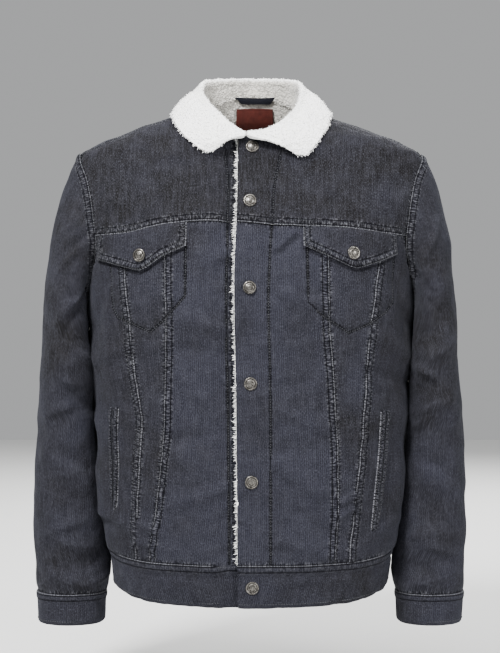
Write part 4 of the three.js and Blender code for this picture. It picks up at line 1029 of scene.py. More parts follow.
def collar_half(side, columns):
    """The paths of one half of the collar, from the neck seam over the roll to the edge."""
    along = np.linspace(0, 1, columns + 1) ** 1.25
    line = neck_line(side)
    length = np.concatenate([[0], np.cumsum(np.linalg.norm(np.diff(line, axis=0), axis=1))])
    share = np.clip(along * 0.98 + 0.01, 0, 1) * length[-1]
    foot = np.stack([np.interp(share, length, line[:, n]) for n in range(3)], axis=-1)
    flat = 1 - smoothstep(along, 0.08, 0.34)
    foot[:, 2] += COLLAR_SEAT + COLLAR_WALL * flat
    outward = unit(np.stack([foot[:, 0], foot[:, 1] + 10, np.zeros(len(foot))], axis=-1))
    foot -= outward * COLLAR_WALL * 0.45
    rows = COLLAR_ROWS[side]
    roll_x, roll_y, roll_z, edge_x, edge_z = (curve_through(rows, n)(along) for n in range(1, 6))
    roll = np.stack([side * roll_x, roll_y, roll_z], axis=-1)
    way_back = smoothstep(along, 0.56, 0.7)
    front_y = resting_depth(edge_x, edge_z, False, COLLAR_REST)
    back_y = resting_depth(edge_x, edge_z, True, COLLAR_REST)
    edge = np.stack([side * edge_x, front_y + (back_y - front_y) * way_back, edge_z], axis=-1)
    rise = roll - outward * ROLL_RADIUS
    rise[:, 2] -= np.minimum(ROLL_RADIUS, (roll[:, 2] - foot[:, 2]) / 2)
    fall = roll + outward * ROLL_RADIUS
    fall[:, 2] -= ROLL_RADIUS
    bulge = (fall + edge) / 2 + outward * COLLAR_BULGE * 0.6
    bulge[:, 2] += COLLAR_BULGE * 0.8

    def cloth(t):
        return (1 - t) ** 2 * fall + 2 * (1 - t) * t * bulge + t * t * edge

    knots = [foot, foot + (rise - foot) * 0.55, rise, roll, fall, cloth(0.34), cloth(0.68), edge]
    return np.stack(knots)


def collar_grid():
    left, right = collar_half(1, COLLAR_COLUMNS), collar_half(-1, COLLAR_COLUMNS)
    knots = np.concatenate([left, right[:, ::-1][:, 1:]], axis=1)
    return through_points(knots, COLLAR_STEPS)


# Materials

class Recipe:
    """One material, built node by node."""

    def __init__(self, name):
        self.material = bpy.data.materials.new(name)
        self.material.use_nodes = True
        self.tree = self.material.node_tree
        self.tree.nodes.clear()
        self.shader = self.tree.nodes.new("ShaderNodeBsdfPrincipled")
        output = self.tree.nodes.new("ShaderNodeOutputMaterial")
        self.tree.links.new(self.shader.outputs["BSDF"], output.inputs["Surface"])

    def put(self, socket, value):
        if isinstance(value, bpy.types.NodeSocket):
            self.tree.links.new(value, socket)
        elif isinstance(value, (tuple, list)) or hasattr(value, "__len__"):
            socket.default_value = (*value[:3], 1.0) if len(socket.default_value) == 4 else value
        else:
            socket.default_value = value

    def node(self, kind, **settings):
        made = self.tree.nodes.new(kind)
        for key, value in settings.items():
            setattr(made, key, value)
        return made

    def math(self, operation, first, second=0.0, third=0.0, clamp=False):
        made = self.node("ShaderNodeMath", operation=operation, use_clamp=clamp)
        for socket, value in zip(made.inputs, (first, second, third)):
            self.put(socket, value)
        return made.outputs[0]

    def mark(self, name):
        return self.node("ShaderNodeAttribute", attribute_name=name).outputs["Fac"]

    def mix(self, factor, first, second):
        made = self.node("ShaderNodeMix", data_type="RGBA")
        self.put(made.inputs[0], factor)
        self.put(made.inputs[6], first)
        self.put(made.inputs[7], second)
        return made.outputs[2]

    def noise(self, vector, scale, detail=2.0, rough=0.5):
        made = self.node("ShaderNodeTexNoise")
        self.put(made.inputs["Vector"], vector)
        self.put(made.inputs["Scale"], scale)
        self.put(made.inputs["Detail"], detail)
        self.put(made.inputs["Roughness"], rough)
        return made.outputs["Fac"]

    def spread(self, value, low, high, to_low=0.0, to_high=1.0):
        made = self.node("ShaderNodeMapRange", clamp=True)
        for socket, number in zip(made.inputs, (value, low, high, to_low, to_high)):
            self.put(socket, number)
        return made.outputs[0]

    def vector(self, x, y, z=0.0):
        made = self.node("ShaderNodeCombineXYZ")
        for socket, value in zip(made.inputs, (x, y, z)):
            self.put(socket, value)
        return made.outputs[0]

    def bell(self, value, middle, width):
        """One where the value is the middle, and nothing further off than a few widths."""
        off = self.math("DIVIDE", self.math("SUBTRACT", value, middle), width)
        return self.math("EXPONENT", self.math("MULTIPLY", self.math("MULTIPLY", off, off), -1.0))

    def bump(self, height, distance, strength=1.0):
        made = self.node("ShaderNodeBump")
        made.inputs["Strength"].default_value = strength
        made.inputs["Distance"].default_value = distance
        self.put(made.inputs["Height"], height)
        self.put(self.shader.inputs["Normal"], made.outputs["Normal"])

    def surface(self, **settings):
        """Sets numbers of the shader, named with an underscore for each space."""
        for name, value in settings.items():
            self.shader.inputs[name.replace("_", " ")].default_value = value

    def colour(self, value):
        self.put(self.shader.inputs["Base Color"], value)

    def coordinates(self, output="Object"):
        return self.node("ShaderNodeTexCoord").outputs[output]


def corduroy_recipe(sizes, colours):
    """Fine ribs down the cloth; along its seams, by turns worn pale with painted highlight and painted shade in
    the hollows.
    """
    r = Recipe("corduroy_fine_wale")
    uv = r.node("ShaderNodeSeparateXYZ")
    r.put(uv.inputs[0], r.coordinates("UV"))
    across, down = uv.outputs[0], uv.outputs[1]

    def stretched(x_scale, y_scale, detail, rough=0.5):
        place = r.vector(r.math("MULTIPLY", across, x_scale), r.math("MULTIPLY", down, y_scale))
        return r.noise(place, 1.0, detail, rough)

    wobble = r.math("MULTIPLY", r.math("SUBTRACT", stretched(60.0, 60.0, 2.0), 0.5), 0.0016)
    turns = r.math("MULTIPLY", r.math("ADD", across, wobble), 2 * math.pi / sizes.wale_pitch)
    wale = r.math("MULTIPLY_ADD", r.math("SINE", turns), 0.5, 0.5)
    grain = stretched(820.0, 420.0, 3.0, 0.6)
    streak = stretched(330.0, 30.0, 3.0, 0.6)
    place = r.coordinates("Object")
    cloud = r.noise(place, 11.0, 4.0, 0.6)
    patch = r.noise(place, 40.0, 3.0, 0.6)

    swell = r.noise(place, 26.0, 2.0, 0.45)
    crumple = r.noise(place, 75.0, 2.0, 0.5)

    band, pull, along = r.mark("band"), r.mark("pull"), r.mark("along")
    # Grooves at the stitch rows: they dip the cloth and take painted shade.
    groove = r.math("ADD", r.bell(band, NEAR_ROW, 0.9), r.bell(band, FAR_ROW, 0.9))
    groove = r.math("ADD", groove, r.bell(r.mark("row"), 0.0, 1.8), clamp=True)
    rung = r.vector(r.math("MULTIPLY", along, 0.5), r.math("MULTIPLY", pull, 0.16))
    ladder = r.noise(rung, 1.0, 2.0, 0.5)
    lap = r.spread(band, SEAM_BAND, SEAM_BAND + 3.5, 1.0, 0.0)
    reach = r.math("MAXIMUM", lap, r.bell(pull, 0.0, 4.5))
    reach = r.math("MULTIPLY", reach, r.math("SUBTRACT", 1.0, r.mark("calm")))
    # Pale beside seams on the pucker crests: worn cloth, and partly painted highlight.
    rubbed = r.math("MULTIPLY", reach, r.spread(ladder, 0.5, 0.64))
    # Painted shade in the pucker hollows beside seams.
    pucker_shade = r.math("MULTIPLY", reach, r.spread(ladder, 0.36, 0.5, 1.0, 0.0))
    # A pale band on the over edge of seams and flaps: worn cloth, and partly painted highlight.
    edge_wear_and_highlight = r.math("MULTIPLY", r.bell(band, 0.2, 1.0), r.spread(ladder, 0.36, 0.58, 0.25, 1.0))
    # Painted shadow: a dark line beside the under side of each seam, beside the right front's lapped edge and
    # under each chest flap.
    painted_seam_shadow = r.bell(r.mark("under"), 0.0, 1.5)
    wear_and_highlight = r.math("MULTIPLY_ADD", rubbed, 0.34, r.math("MULTIPLY", edge_wear_and_highlight, 0.72))
    wear_and_highlight = r.math("MULTIPLY", wear_and_highlight, r.spread(patch, 0.3, 0.6, 0.5, 1.0), clamp=True)
    # All the painted shade of the seams: pucker hollows, stitch grooves and under seams.
    dark = r.math("MULTIPLY_ADD", pucker_shade, 0.75, groove)
    dark = r.math("MULTIPLY_ADD", painted_seam_shadow, 0.9, dark, clamp=True)

    # A brown cast that varies by piece and in clouds. It is partly the cloth's colour and partly painted shade:
    # the brown is darker and is mixed in most on the yokes, sides and sleeves.
    shift = r.math("MULTIPLY", r.math("SUBTRACT", cloud, 0.5), 2.6)
    cast = r.math("ADD", r.mark("brown_cast_and_shade"), shift, clamp=True)
    body = r.mix(cast, colours.cloth, colours.cloth_brown_and_shade)
    body = r.mix(r.spread(streak, 0.42, 0.68, 0.0, 0.25), body, colours.cloth_light)
    ribbed = r.math("MULTIPLY", r.spread(wale, 0.0, 0.55, 0.5, 0.0), r.spread(cast, 0.4, 1.0, 1.0, 0.3))
    body = r.mix(ribbed, body, colours.cloth_furrow)
    # Painted highlight: lighter where the crumple noise raises the cloth in the bump below.
    body = r.mix(r.spread(crumple, 0.48, 0.76, 0.0, 0.18), body, colours.cloth_light)
    body = r.mix(r.spread(grain, 0.52, 0.68, 0.0, 0.6), body, colours.cloth_light)
    body = r.mix(r.spread(grain, 0.34, 0.48, 0.6, 0.0), body, colours.cloth_furrow)
    # The worn colour, partly painted highlight, laid over the cloth.
    body = r.mix(wear_and_highlight, body, colours.cloth_worn_and_highlight)
    # The painted shade takes the furrow colour.
    r.colour(r.mix(dark, body, colours.cloth_furrow))
    r.surface(Roughness=0.9, Specular_IOR_Level=0.05, Sheen_Weight=0.03, Sheen_Roughness=0.4)
    r.surface(Sheen_Tint=(0.8, 0.84, 1.0, 1.0))

    height = r.math("MULTIPLY", wale, 0.35)
    height = r.math("MULTIPLY_ADD", grain, 0.5, height)
    height = r.math("MULTIPLY_ADD", groove, -1.0, height)
    ladder_height = r.math("MULTIPLY", r.math("SUBTRACT", ladder, 0.5), reach)
    height = r.math("MULTIPLY_ADD", ladder_height, 5.0, height)
    height = r.math("MULTIPLY_ADD", swell, 6.5, height)
    height = r.math("MULTIPLY_ADD", crumple, 2.6, height)
    r.bump(height, 0.001, 1.0)
    return r.material


def pile_recipe(sizes, colours):
    """Curly pile: close small curls, with painted shade in the hollows between them and deeper painted shade
    inside the neck.
    """
    r = Recipe("curly_pile")
    place = r.coordinates("Object")
    shift = r.node("ShaderNodeVectorMath", operation="SCALE")
    noise = r.node("ShaderNodeTexNoise")
    noise.inputs["Scale"].default_value = 180.0
    r.put(noise.inputs["Vector"], place)
    r.put(shift.inputs[0], noise.outputs["Color"])
    shift.inputs["Scale"].default_value = 0.004
    moved = r.node("ShaderNodeVectorMath", operation="ADD")
    r.put(moved.inputs[0], place)
    r.put(moved.inputs[1], shift.outputs[0])
    curls = r.node("ShaderNodeTexVoronoi", feature="F1")
    r.put(curls.inputs["Vector"], moved.outputs[0])
    curls.inputs["Scale"].default_value = 330.0
    mound = r.spread(curls.outputs["Distance"], 0.0, 0.75, 1.0, 0.0)
    fluff = r.noise(place, 900.0, 3.0, 0.6)
    clump = r.noise(place, 90.0, 2.0)
    # Painted shade in the hollows between the curls.
    shade = r.math("MULTIPLY", r.spread(mound, 0.0, 0.55, 1.0, 0.0), r.spread(clump, 0.3, 0.7, 0.35, 1.0))
    # Inside the neck the pile is greyer and its hollows darker: painted shade.
    inside = r.mark("inside")
    light = r.mix(inside, colours.pile, colours.pile_neck_shade)
    depth = r.math("MULTIPLY", shade, r.math("MULTIPLY_ADD", inside, 0.8, 0.2), clamp=True)
    r.colour(r.mix(depth, light, colours.pile_hollow_shade))
    r.surface(Roughness=1.0, Specular_IOR_Level=0.1, Sheen_Weight=0.5, Sheen_Roughness=0.6)
    r.bump(r.math("MULTIPLY_ADD", fluff, 0.35, mound), 0.0016, 0.8)
    return r.material


def lining_recipe(sizes, colours):
    """The smooth woven lining of the sleeves."""
    r = Recipe("sleeve_lining")
    place = r.coordinates("Object")
    weave = r.noise(place, 1600.0, 2.0)
    slub = r.noise(place, 60.0, 3.0)
    r.colour(r.mix(r.spread(slub, 0.3, 0.7), colours.lining, colours.cloth_furrow))
    r.surface(Roughness=0.5)
    r.bump(weave, 0.0003, 0.4)
    return r.material


def thread_recipe(sizes, colours):
    r = Recipe("sewing_thread")
    place = r.coordinates("Object")
    fade = r.noise(place, 120.0, 2.0)
    r.colour(r.mix(r.spread(fade, 0.35, 0.65), colours.thread, colours.thread_faded))
    r.surface(Roughness=0.7)
    r.bump(r.noise(place, 3000.0, 1.0), 0.0001, 0.5)
    return r.material


def leather_recipe(sizes, colours):
    r = Recipe("plain_leather_patch")
    place = r.coordinates("Object")
    grain = r.node("ShaderNodeTexVoronoi", feature="DISTANCE_TO_EDGE")
    r.put(grain.inputs["Vector"], place)
    grain.inputs["Scale"].default_value = 900.0
    tone = r.noise(place, 130.0, 4.0, 0.6)
    r.colour(r.mix(r.spread(tone, 0.3, 0.7), colours.leather, colours.leather_dark))
    r.put(r.shader.inputs["Roughness"], r.spread(tone, 0.3, 0.7, 0.6, 0.75))
    r.surface(Specular_IOR_Level=0.2)
    creases = r.spread(grain.outputs["Distance"], 0.0, 0.12)
    r.bump(r.math("MULTIPLY_ADD", tone, 1.5, creases), 0.0003, 0.6)
    return r.material


def tape_recipe(sizes, colours):
    """Twill tape: fine slanting lines."""
    r = Recipe("twill_tape")
    place = r.node("ShaderNodeSeparateXYZ")
    r.put(place.inputs[0], r.coordinates("Object"))
    slant = r.math("ADD", place.outputs[0], place.outputs[2])
    twill = r.math("MULTIPLY_ADD", r.math("SINE", r.math("MULTIPLY", slant, 5200.0)), 0.5, 0.5)
    r.colour(r.mix(r.math("MULTIPLY", twill, 0.4), colours.tape, colours.cloth))
    r.surface(Roughness=0.8, Specular_IOR_Level=0.1)
    r.bump(twill, 0.0002, 0.6)
    return r.material


def metal_recipe(sizes, colours):
    """Aged metal: bright where it is rubbed, dark with patina in the rings, and painted shade on the outer rim.
    """
    r = Recipe("aged_button_metal")
    place = r.coordinates("Object")
    tarnish = r.noise(place, 420.0, 4.0, 0.65)
    pits = r.noise(place, 1900.0, 2.0)
    hollow = r.mark("hollow")
    dark = r.math("ADD", r.spread(tarnish, 0.42, 0.66), hollow, clamp=True)
    r.colour(r.mix(dark, colours.metal, colours.metal_dark))
    r.put(r.shader.inputs["Roughness"], r.spread(tarnish, 0.35, 0.65, 0.28, 0.5))
    r.surface(Metallic=0.9)
    r.bump(r.math("MULTIPLY_ADD", pits, 0.4, tarnish), 0.0002, 0.4)
    return r.material


def floor_recipe(sizes, colours):
    r = Recipe("studio_floor")
    cloud = r.noise(r.coordinates("Object"), 3.0, 2.0)
    lighter = tuple(min(1.0, c * 1.03) for c in colours.floor)
    r.colour(r.mix(cloud, colours.floor, lighter))
    r.surface(Roughness=0.85)
    return r.material


RECIPES = {
    "corduroy": corduroy_recipe, "pile": pile_recipe, "lining": lining_recipe,
    "thread": thread_recipe, "leather": leather_recipe, "tape": tape_recipe,
    "metal": metal_recipe, "floor": floor_recipe,
}
made_finishes = {}


def finish(name):
    """The material of that name, made once."""
    if name not in made_finishes:
        scene = bpy.context.scene
        made_finishes[name] = RECIPES[name](scene.jacket_sizes, scene.jacket_colours)
    return made_finishes[name]


# Threads and tufts: small shapes that are repeated

def stitch_shape(length, thickness):
    """One stitch along X: a short rounded thread that dives in at both ends."""
    half, r = length / 2, thickness / 2
    rings = [(-half * 0.55, r), (half * 0.55, r)]
    vertices = [(-half, 0, -r * 1.6)]
    for x, radius in rings:
        vertices += [(x, radius, 0), (x, 0, radius), (x, -radius, 0), (x, 0, -radius)]
    vertices.append((half, 0, -r * 1.6))
    faces = []
    for i in range(4):
        n = (i + 1) % 4
        faces.append((0, 1 + n, 1 + i))
        faces.append((1 + i, 1 + n, 5 + n))
        faces.append((1 + i, 5 + n, 5 + i))
        faces.append((9, 5 + i, 5 + n))
    return np.array(vertices), np.array(faces)


def repeated(vertices, faces, frames, origins):
    """Copies of one small shape: frames are rows of three axes."""
    placed = np.einsum("vk,nkc->nvc", vertices, frames) + origins[:, None]
    shifts = np.arange(len(origins))[:, None, None] * len(vertices)
    return placed.reshape(-1, 3), (faces[None] + shifts).reshape(-1, 3)


def surface_tree(piece):
    mesh = piece.data
    points = np.empty(len(mesh.vertices) * 3, np.float32)
    mesh.vertices.foreach_get("co", points)
    points = points.reshape(-1, 3).astype(float) / MM
    faces = [tuple(polygon.vertices) for polygon in mesh.polygons]
    return BVHTree.FromPolygons([Vector(p) for p in points], faces)


def even_points(line, step):
    length = np.concatenate([[0], np.cumsum(np.linalg.norm(np.diff(line, axis=0), axis=1))])
    at = np.arange(step / 2, length[-1], step)
    return np.stack([np.interp(at, length, line[:, n]) for n in range(3)], axis=-1)


def stitch_frames(tree, line, offset, pitch):
    """Places and axes of stitches beside a line, on the surface that the tree holds."""
    points = even_points(line, pitch)
    if len(points) < 3:
        return np.zeros((0, 3, 3)), np.zeros((0, 3))
    along = unit(np.gradient(points, axis=0))
    outward = []
    for p in points:
        found = tree.find_nearest(Vector(p))
        normal = np.array(found[1])
        away = p * np.array([1, 1, 0.0])
        outward.append(normal if normal @ away > 0 else -normal)
    outward = np.array(outward)
    beside = unit(np.cross(outward, along))
    if offset:
        def misfit(sign):
            return sum(tree.find_nearest(Vector(p))[3] for p in points[::6] + sign * 6 * beside[::6])
        beside *= 1 if misfit(1) < misfit(-1) else -1
    frames, origins = [], []
    for p, way, side in zip(points + offset * beside, along, beside):
        place, normal, _, gap = tree.find_nearest(Vector(p))
        if place is None or gap > 4:
            continue
        up = np.array(normal)
        way = unit(way - up * (way @ up))
        frames.append([way, np.cross(up, way), up])
        origins.append(np.array(place) + up * 0.12)
    return np.array(frames).reshape(-1, 3, 3), np.array(origins).reshape(-1, 3)


def stitched_rows(name, jobs):
    """One piece of sewing thread for many rows. A job is a surface, a line and its offsets."""
    sizes = bpy.context.scene.jacket_sizes
    pitch = sizes.stitch_length / MM
    shape = stitch_shape(pitch * 0.8, sizes.stitch_thickness / MM)
    frames, origins = [], []
    for piece, line, offsets in jobs:
        tree = surface_tree(bpy.data.objects[f"sewn_{piece}"])
        for offset in offsets:
            f, o = stitch_frames(tree, line, offset, pitch)
            frames.append(f)
            origins.append(o)
    vertices, faces = repeated(*shape, np.concatenate(frames), np.concatenate(origins))
    made = new_object(name, vertices, faces, [finish("thread")], sharp=0)
    return carried(made, "corduroy")


def tuft_shape():
    """One curl of pile along Z, one unit long and bent over at its tip."""
    rings = [(0.0, 0.0, 0.42), (0.12, 0.5, 0.36)]
    vertices = []
    for shift, height, radius in rings:
        for i in range(4):
            turn = math.pi / 2 * i + height
            vertices.append((shift + radius * math.cos(turn), radius * math.sin(turn), height))
    vertices.append((0.45, 0.0, 1.0))
    faces = []
    for i in range(4):
        n = (i + 1) % 4
        faces += [(i, n, 4 + n), (i, 4 + n, 4 + i), (4 + i, 4 + n, 8)]
    faces += [(0, 2, 1), (0, 3, 2)]
    return np.array(vertices), np.array(faces)


def tufts(points, normals, lengths, widths, seed, lean=0.5):
    """Curls of pile standing on points, leaning every way."""
    rng = np.random.default_rng(seed)
    tip = unit(normals + lean * rng.normal(size=normals.shape))
    across = unit(np.cross(tip, rng.normal(size=tip.shape)))
    third = np.cross(tip, across)
    frames = np.stack([
        across * widths[:, None], third * widths[:, None], tip * lengths[:, None],
    ], axis=1)
    return repeated(*tuft_shape(), frames, points)


def joined(parts):
    vertices, faces, count = [], [], 0
    for v, f in parts:
        vertices.append(v)
        faces.append(f + count)
        count += len(v)
    return np.concatenate(vertices), np.concatenate(faces)


def scattered(grid, normals, spacing, seed, rows=slice(None)):
    """Random points over part of a grid, with their normals, about one to each spacing squared."""
    rng = np.random.default_rng(seed)
    part, part_normals = grid[rows], normals[rows]
    a = part[1:, :-1] - part[:-1, :-1]
    b = part[:-1, 1:] - part[:-1, :-1]
    areas = np.linalg.norm(np.cross(a, b), axis=2)
    total = areas.sum()
    count = int(total / spacing ** 2)
    chosen = rng.choice(areas.size, count, p=areas.ravel() / total)
    j, i = np.unravel_index(chosen, areas.shape)
    u, v = rng.uniform(size=(2, count))
    weights = [
        (j, i, (1 - u) * (1 - v)), (j, i + 1, u * (1 - v)), (j + 1, i, (1 - u) * v), (j + 1, i + 1, u * v),
    ]
    points = sum(part[r, c] * w[:, None] for r, c, w in weights)
    ways = unit(sum(part_normals[r, c] * w[:, None] for r, c, w in weights))
    return points, ways


def clear_selection():
    for piece in bpy.context.scene.objects:
        piece.select_set(False)


def size_property(name, description, value, low, high):
    return bpy.props.FloatProperty(
        name=name, description=description, default=value, min=low, max=high, precision=4,
        subtype="DISTANCE", unit="LENGTH")


class JacketSizes(bpy.types.PropertyGroup):
    """Sizes that a user would change"""
    wale_pitch: size_property(
        "Wale pitch", "Distance from one corduroy rib to the next", 0.0027, 0.001, 0.006)
    stitch_length: size_property(
        "Stitch length", "Length of one stitch with its gap", 0.0034, 0.002, 0.006)
    stitch_thickness: size_property(
        "Thread thickness", "Thickness of the sewing thread", 0.0008, 0.0003, 0.002)
    button_diameter: size_property(
        "Button diameter", "Width of each shank button", 0.017, 0.01, 0.03)
    curl_length: size_property(
        "Curl length", "Length of the curls of the pile", 0.0034, 0.001, 0.008)
    curl_spacing: size_property(
        "Curl spacing", "Distance between the curls of the collar", 0.0027, 0.002, 0.01)


def colour_property(name, description, value):
    return bpy.props.FloatVectorProperty(
        name=name, description=description, default=value, size=3, min=0, max=1, subtype="COLOR")


class JacketColours(bpy.types.PropertyGroup):
    """Colours that a user would change"""
    cloth: colour_property("Cloth", "Corduroy, slate blue", (0.0172, 0.0176, 0.0248))
    # A darker brown: the cloth's brown cast, doubling as painted shade.
    cloth_brown_and_shade: colour_property(
        "Cloth, brown cast", "Corduroy where it is browner", (0.0066, 0.0062, 0.0063))
    cloth_light: colour_property(
        "Cloth, raised nap", "Corduroy where the nap is lighter", (0.045, 0.0456, 0.057))
    cloth_furrow: colour_property("Cloth, furrows", "Corduroy between its ribs", (0.0035, 0.0035, 0.005))
    # Worn corduroy; also the colour of the painted highlight on seam edges and pucker crests.
    cloth_worn_and_highlight: colour_property("Cloth, worn", "Corduroy where it is rubbed", (0.17, 0.172, 0.19))
    pile: colour_property("Pile", "Curly pile", (0.97, 0.965, 0.95))
    # Pile inside the neck, greyed as painted shade.
    pile_neck_shade: colour_property("Pile, inside", "Pile inside the neck", (0.45, 0.43, 0.39))
    # Painted shade in the hollows of the pile.
    pile_hollow_shade: colour_property("Pile, deep", "Pile in its hollows", (0.15, 0.145, 0.13))
    lining: colour_property("Sleeve lining", "Smooth lining of the sleeves", (0.020, 0.021, 0.026))
    thread: colour_property("Thread", "Sewing thread", (0.007, 0.0072, 0.009))
    thread_faded: colour_property("Thread, faded", "Sewing thread where it is worn", (0.035, 0.036, 0.042))
    leather: colour_property("Leather", "Neck patch", (0.060, 0.008, 0.004))
    leather_dark: colour_property("Leather, dark", "Neck patch in its grain", (0.030, 0.004, 0.002))
    tape: colour_property("Tape", "Hanger loop", (0.003, 0.0035, 0.006))
    metal: colour_property("Metal", "Buttons where they are rubbed", (0.15, 0.142, 0.13))
    # Tarnish in the rings, and the painted shade of the outer rim.
    metal_dark: colour_property("Metal, dark", "Buttons where they are tarnished", (0.016, 0.014, 0.012))
    floor: colour_property("Floor", "Studio floor", (0.62, 0.62, 0.61))


# Lines that later steps sew along, by piece
SEWN = {}


class JACKET_OT_fronts(bpy.types.Operator):
    """Cuts and shapes the panels and the yoke of both fronts"""
    bl_idname = "jacket.fronts"
    bl_label = "Fronts"

    def execute(self, context):
        for side, name in ((1, "left"), (-1, "right")):
            self.make_front(side, name)
        return {"FINISHED"}

    def make_front(self, side, name):
        seams, panels, yoke = front_layout(side)
        to_point = front_point(side)
        lines = {key: front_curve(line, side) for key, line in seams.items()}
        waist, arm, yoke_seam = waist_line(), armhole_line(side), yoke_line(side)
        pocket = on_front(POCKET_OUTLINES[side], side)
        if side > 0:
            edge = (lines["edge"], FOLD)
            inner_stitch = (down_front(placket_stitch_at, -601, -160), LINE)
        else:
            # Under the left front's edge, this line dips the right front and paints shadow on it beside the
            # pile.
            edge = (down_front(lambda z: front_edge_at(z) - 5.0, -601, -156, -1), UNDER)
            inner_stitch = (down_front(underlap_stitch_at, -601, -160, -1), LINE)
        # Painted shadow on the cloth just under each chest flap's lower edge.
        flap_shade = on_front([(x, z - 3.6) for x, z in FLAP_ROWS[side]], side)
        shared = [(waist, UNDER), (yoke_seam, UNDER), (pocket, LINE), (flap_shade, PAINTED_SHADOW)]
        chosen = {
            "front_centre": [edge, inner_stitch, (lines["inner"], OVER)],
            "front_middle": [(lines["inner"], UNDER), (lines["outer"], UNDER)],
            "front_side": [(lines["outer"], OVER), (lines["side"], UNDER), (arm, UNDER)],
        }
        # Brown cast by panel, browner and darker towards the side, partly as painted shade.
        brown_cast_and_shade = {"front_centre": 0.15, "front_middle": 0.45, "front_side": 0.6}
        for key, grid_places in panels.items():
            angles, z = grid_places[..., 0], grid_places[..., 1]
            grid = to_point(angles, z)
            normals = body_outward(grid)
            small = 2.0 * fold_height(grid[..., 0], z, False, SMALL_FOLDS)
            grid = grid + normals * small[..., None]
            sewn_piece(f"{key}_{name}", grid, normals, shared + chosen[key],
                       brown_cast_and_shade=brown_cast_and_shade[key])
        to_point = shoulder_point if side > 0 else lapped_shoulder_point
        grid = to_point(yoke[..., 0], yoke[..., 1])
        normals = body_outward_up(grid)
        front = yoke[..., 1] < 0
        small = fold_height(grid[..., 0], grid[..., 2], ~front, SMALL_FOLDS)
        grid = grid + normals * small[..., None]
        stitch_at = placket_stitch_at if side > 0 else underlap_stitch_at
        yoke_seams = [(yoke_seam, OVER), (arm, UNDER), (shoulder_line(side), UNDER),
                      (down_front(stitch_at, -160, -62, side), LINE)]
        if side > 0:
            yoke_seams.append((down_front(front_edge_at, -160, -50), FOLD))
        else:
            # Under the left front's edge, this line dips the right yoke and paints shadow on it.
            yoke_seams.append((down_front(lambda z: front_edge_at(z) - 5.0, -160, -50, -1), UNDER))
        sewn_piece(f"front_yoke_{name}", grid, normals, yoke_seams, brown_cast_and_shade=0.9,
                   upright=True)
        SEWN[f"front_{name}"] = {**lines, "waist": waist, "arm": arm, "yoke": yoke_seam, "pocket": pocket}


class JACKET_OT_back(bpy.types.Operator):
    """Cuts and shapes the back yoke and the back panel"""
    bl_idname = "jacket.back"
    bl_label = "Back"

    def execute(self, context):
        yoke, panel = back_layout()
        grid = shoulder_point(yoke[..., 0], yoke[..., 1])
        normals = body_outward_up(grid)
        arms = [(armhole_line(1), UNDER), (armhole_line(-1), UNDER)]
        seam = back_yoke_line()
        shoulders = [(shoulder_line(1), UNDER), (shoulder_line(-1), UNDER)]
        sewn_piece("back_yoke", grid, normals, [(seam, OVER), *shoulders, *arms], brown_cast_and_shade=0.6,
                   upright=True)
        grid = body_point(panel[..., 0], panel[..., 1])
        normals = body_outward(grid)
        small = fold_height(grid[..., 0], grid[..., 2], np.cos(panel[..., 0]) < 0, SMALL_FOLDS)
        grid = grid + normals * small[..., None]
        sides = [(front_curve(front_seams(side)["side"], 1), OVER) for side in (1, -1)]
        seams = [(seam, UNDER), (waist_line(), UNDER), *sides, *arms]
        sewn_piece("back_panel", grid, normals, seams, brown_cast_and_shade=0.35)
        return {"FINISHED"}


class JACKET_OT_waistband(bpy.types.Operator):
    """Makes the strip round the hem, its right end under its left one"""
    bl_idname = "jacket.waistband"
    bl_label = "Waistband"

    def execute(self, context):
        start = float(angle_at(front_edge_at(-630.0), -630.0))
        end = float(angle_at(float(LAP_END), -630.0)) + 2 * np.pi
        angles = np.linspace(start, end, 361)[None]
        turn = turn_from_front(angles)
        t = np.linspace(0, 1, 23)[:, None]
        low, high = hem_by_angle(turn), waist_by_angle(turn)
        z = low + (high - low) * t
        angles = np.broadcast_to(angles, z.shape)
        roll = BAND_LIFT - 1.3 * np.exp(-(t / 0.035) ** 2) - 1.0 * np.exp(-((1 - t) / 0.03) ** 2)
        grid = np.where((angles > np.pi)[..., None], lapped_body_point(angles, z, roll),
                        body_point(angles, z, roll))
        normals = body_outward(grid)
        at_crease = np.exp(-((t - 0.72) / 0.05) ** 2)
        crease = at_crease * wavy(angles * 190, 40, 7)
        grid = grid - normals * (0.7 + 0.5 * crease)[..., None] * at_crease[..., None]
        seams = [(waist_line(), OVER), (hem_line(), FOLD)]
        sewn_piece("waistband", grid, normals, seams, wall=BAND_WALL, lining="corduroy",
                   brown_cast_and_shade=0.55, uneven=0.6)
        return {"FINISHED"}


class JACKET_OT_sleeves(bpy.types.Operator):
    """Shapes both sleeves and their cuffs"""
    bl_idname = "jacket.sleeves"
    bl_label = "Sleeves and cuffs"

    def execute(self, context):
        for side, name in ((1, "left"), (-1, "right")):
            grid = sleeve_grid(side)
            normals = grid_normals(grid, True)
            arm = armhole_line(side)
            cuff_seam = np.concatenate([grid[-1], grid[-1, :1]])
            under = grid[:, 0]
            seams = [(arm, OVER), (cuff_seam, UNDER), (under, UNDER)]
            sewn_piece(f"sleeve_{name}", grid, normals, seams, lining="lining",
                       wraps=True, brown_cast_and_shade=0.6)
            around = around_armhole(sleeve_columns())
            t = np.linspace(0, 1, 17)[:, None]
            z = CUFF_BOTTOM + (CUFF_TOP - CUFF_BOTTOM) * t
            ring = sleeve_section(side, z, around[None])
            ring_normals = grid_normals(ring, True)
            roll = 0.9 - 1.3 * np.exp(-(t / 0.05) ** 2) - 0.9 * np.exp(-((1 - t) / 0.04) ** 2)
            ring = ring + ring_normals * roll[..., None]
            top = np.concatenate([ring[-1], ring[-1, :1]])
            bottom = np.concatenate([ring[0], ring[0, :1]])
            seams = [(top, OVER), (bottom, FOLD)]
            sewn_piece(f"cuff_{name}", ring, ring_normals, seams, wall=BAND_WALL,
                       lining="lining", wraps=True, brown_cast_and_shade=0.3, uneven=0.5)
            SEWN[f"sleeve_{name}"] = {"arm": arm, "cuff_top": top, "cuff_bottom": bottom}
        return {"FINISHED"}


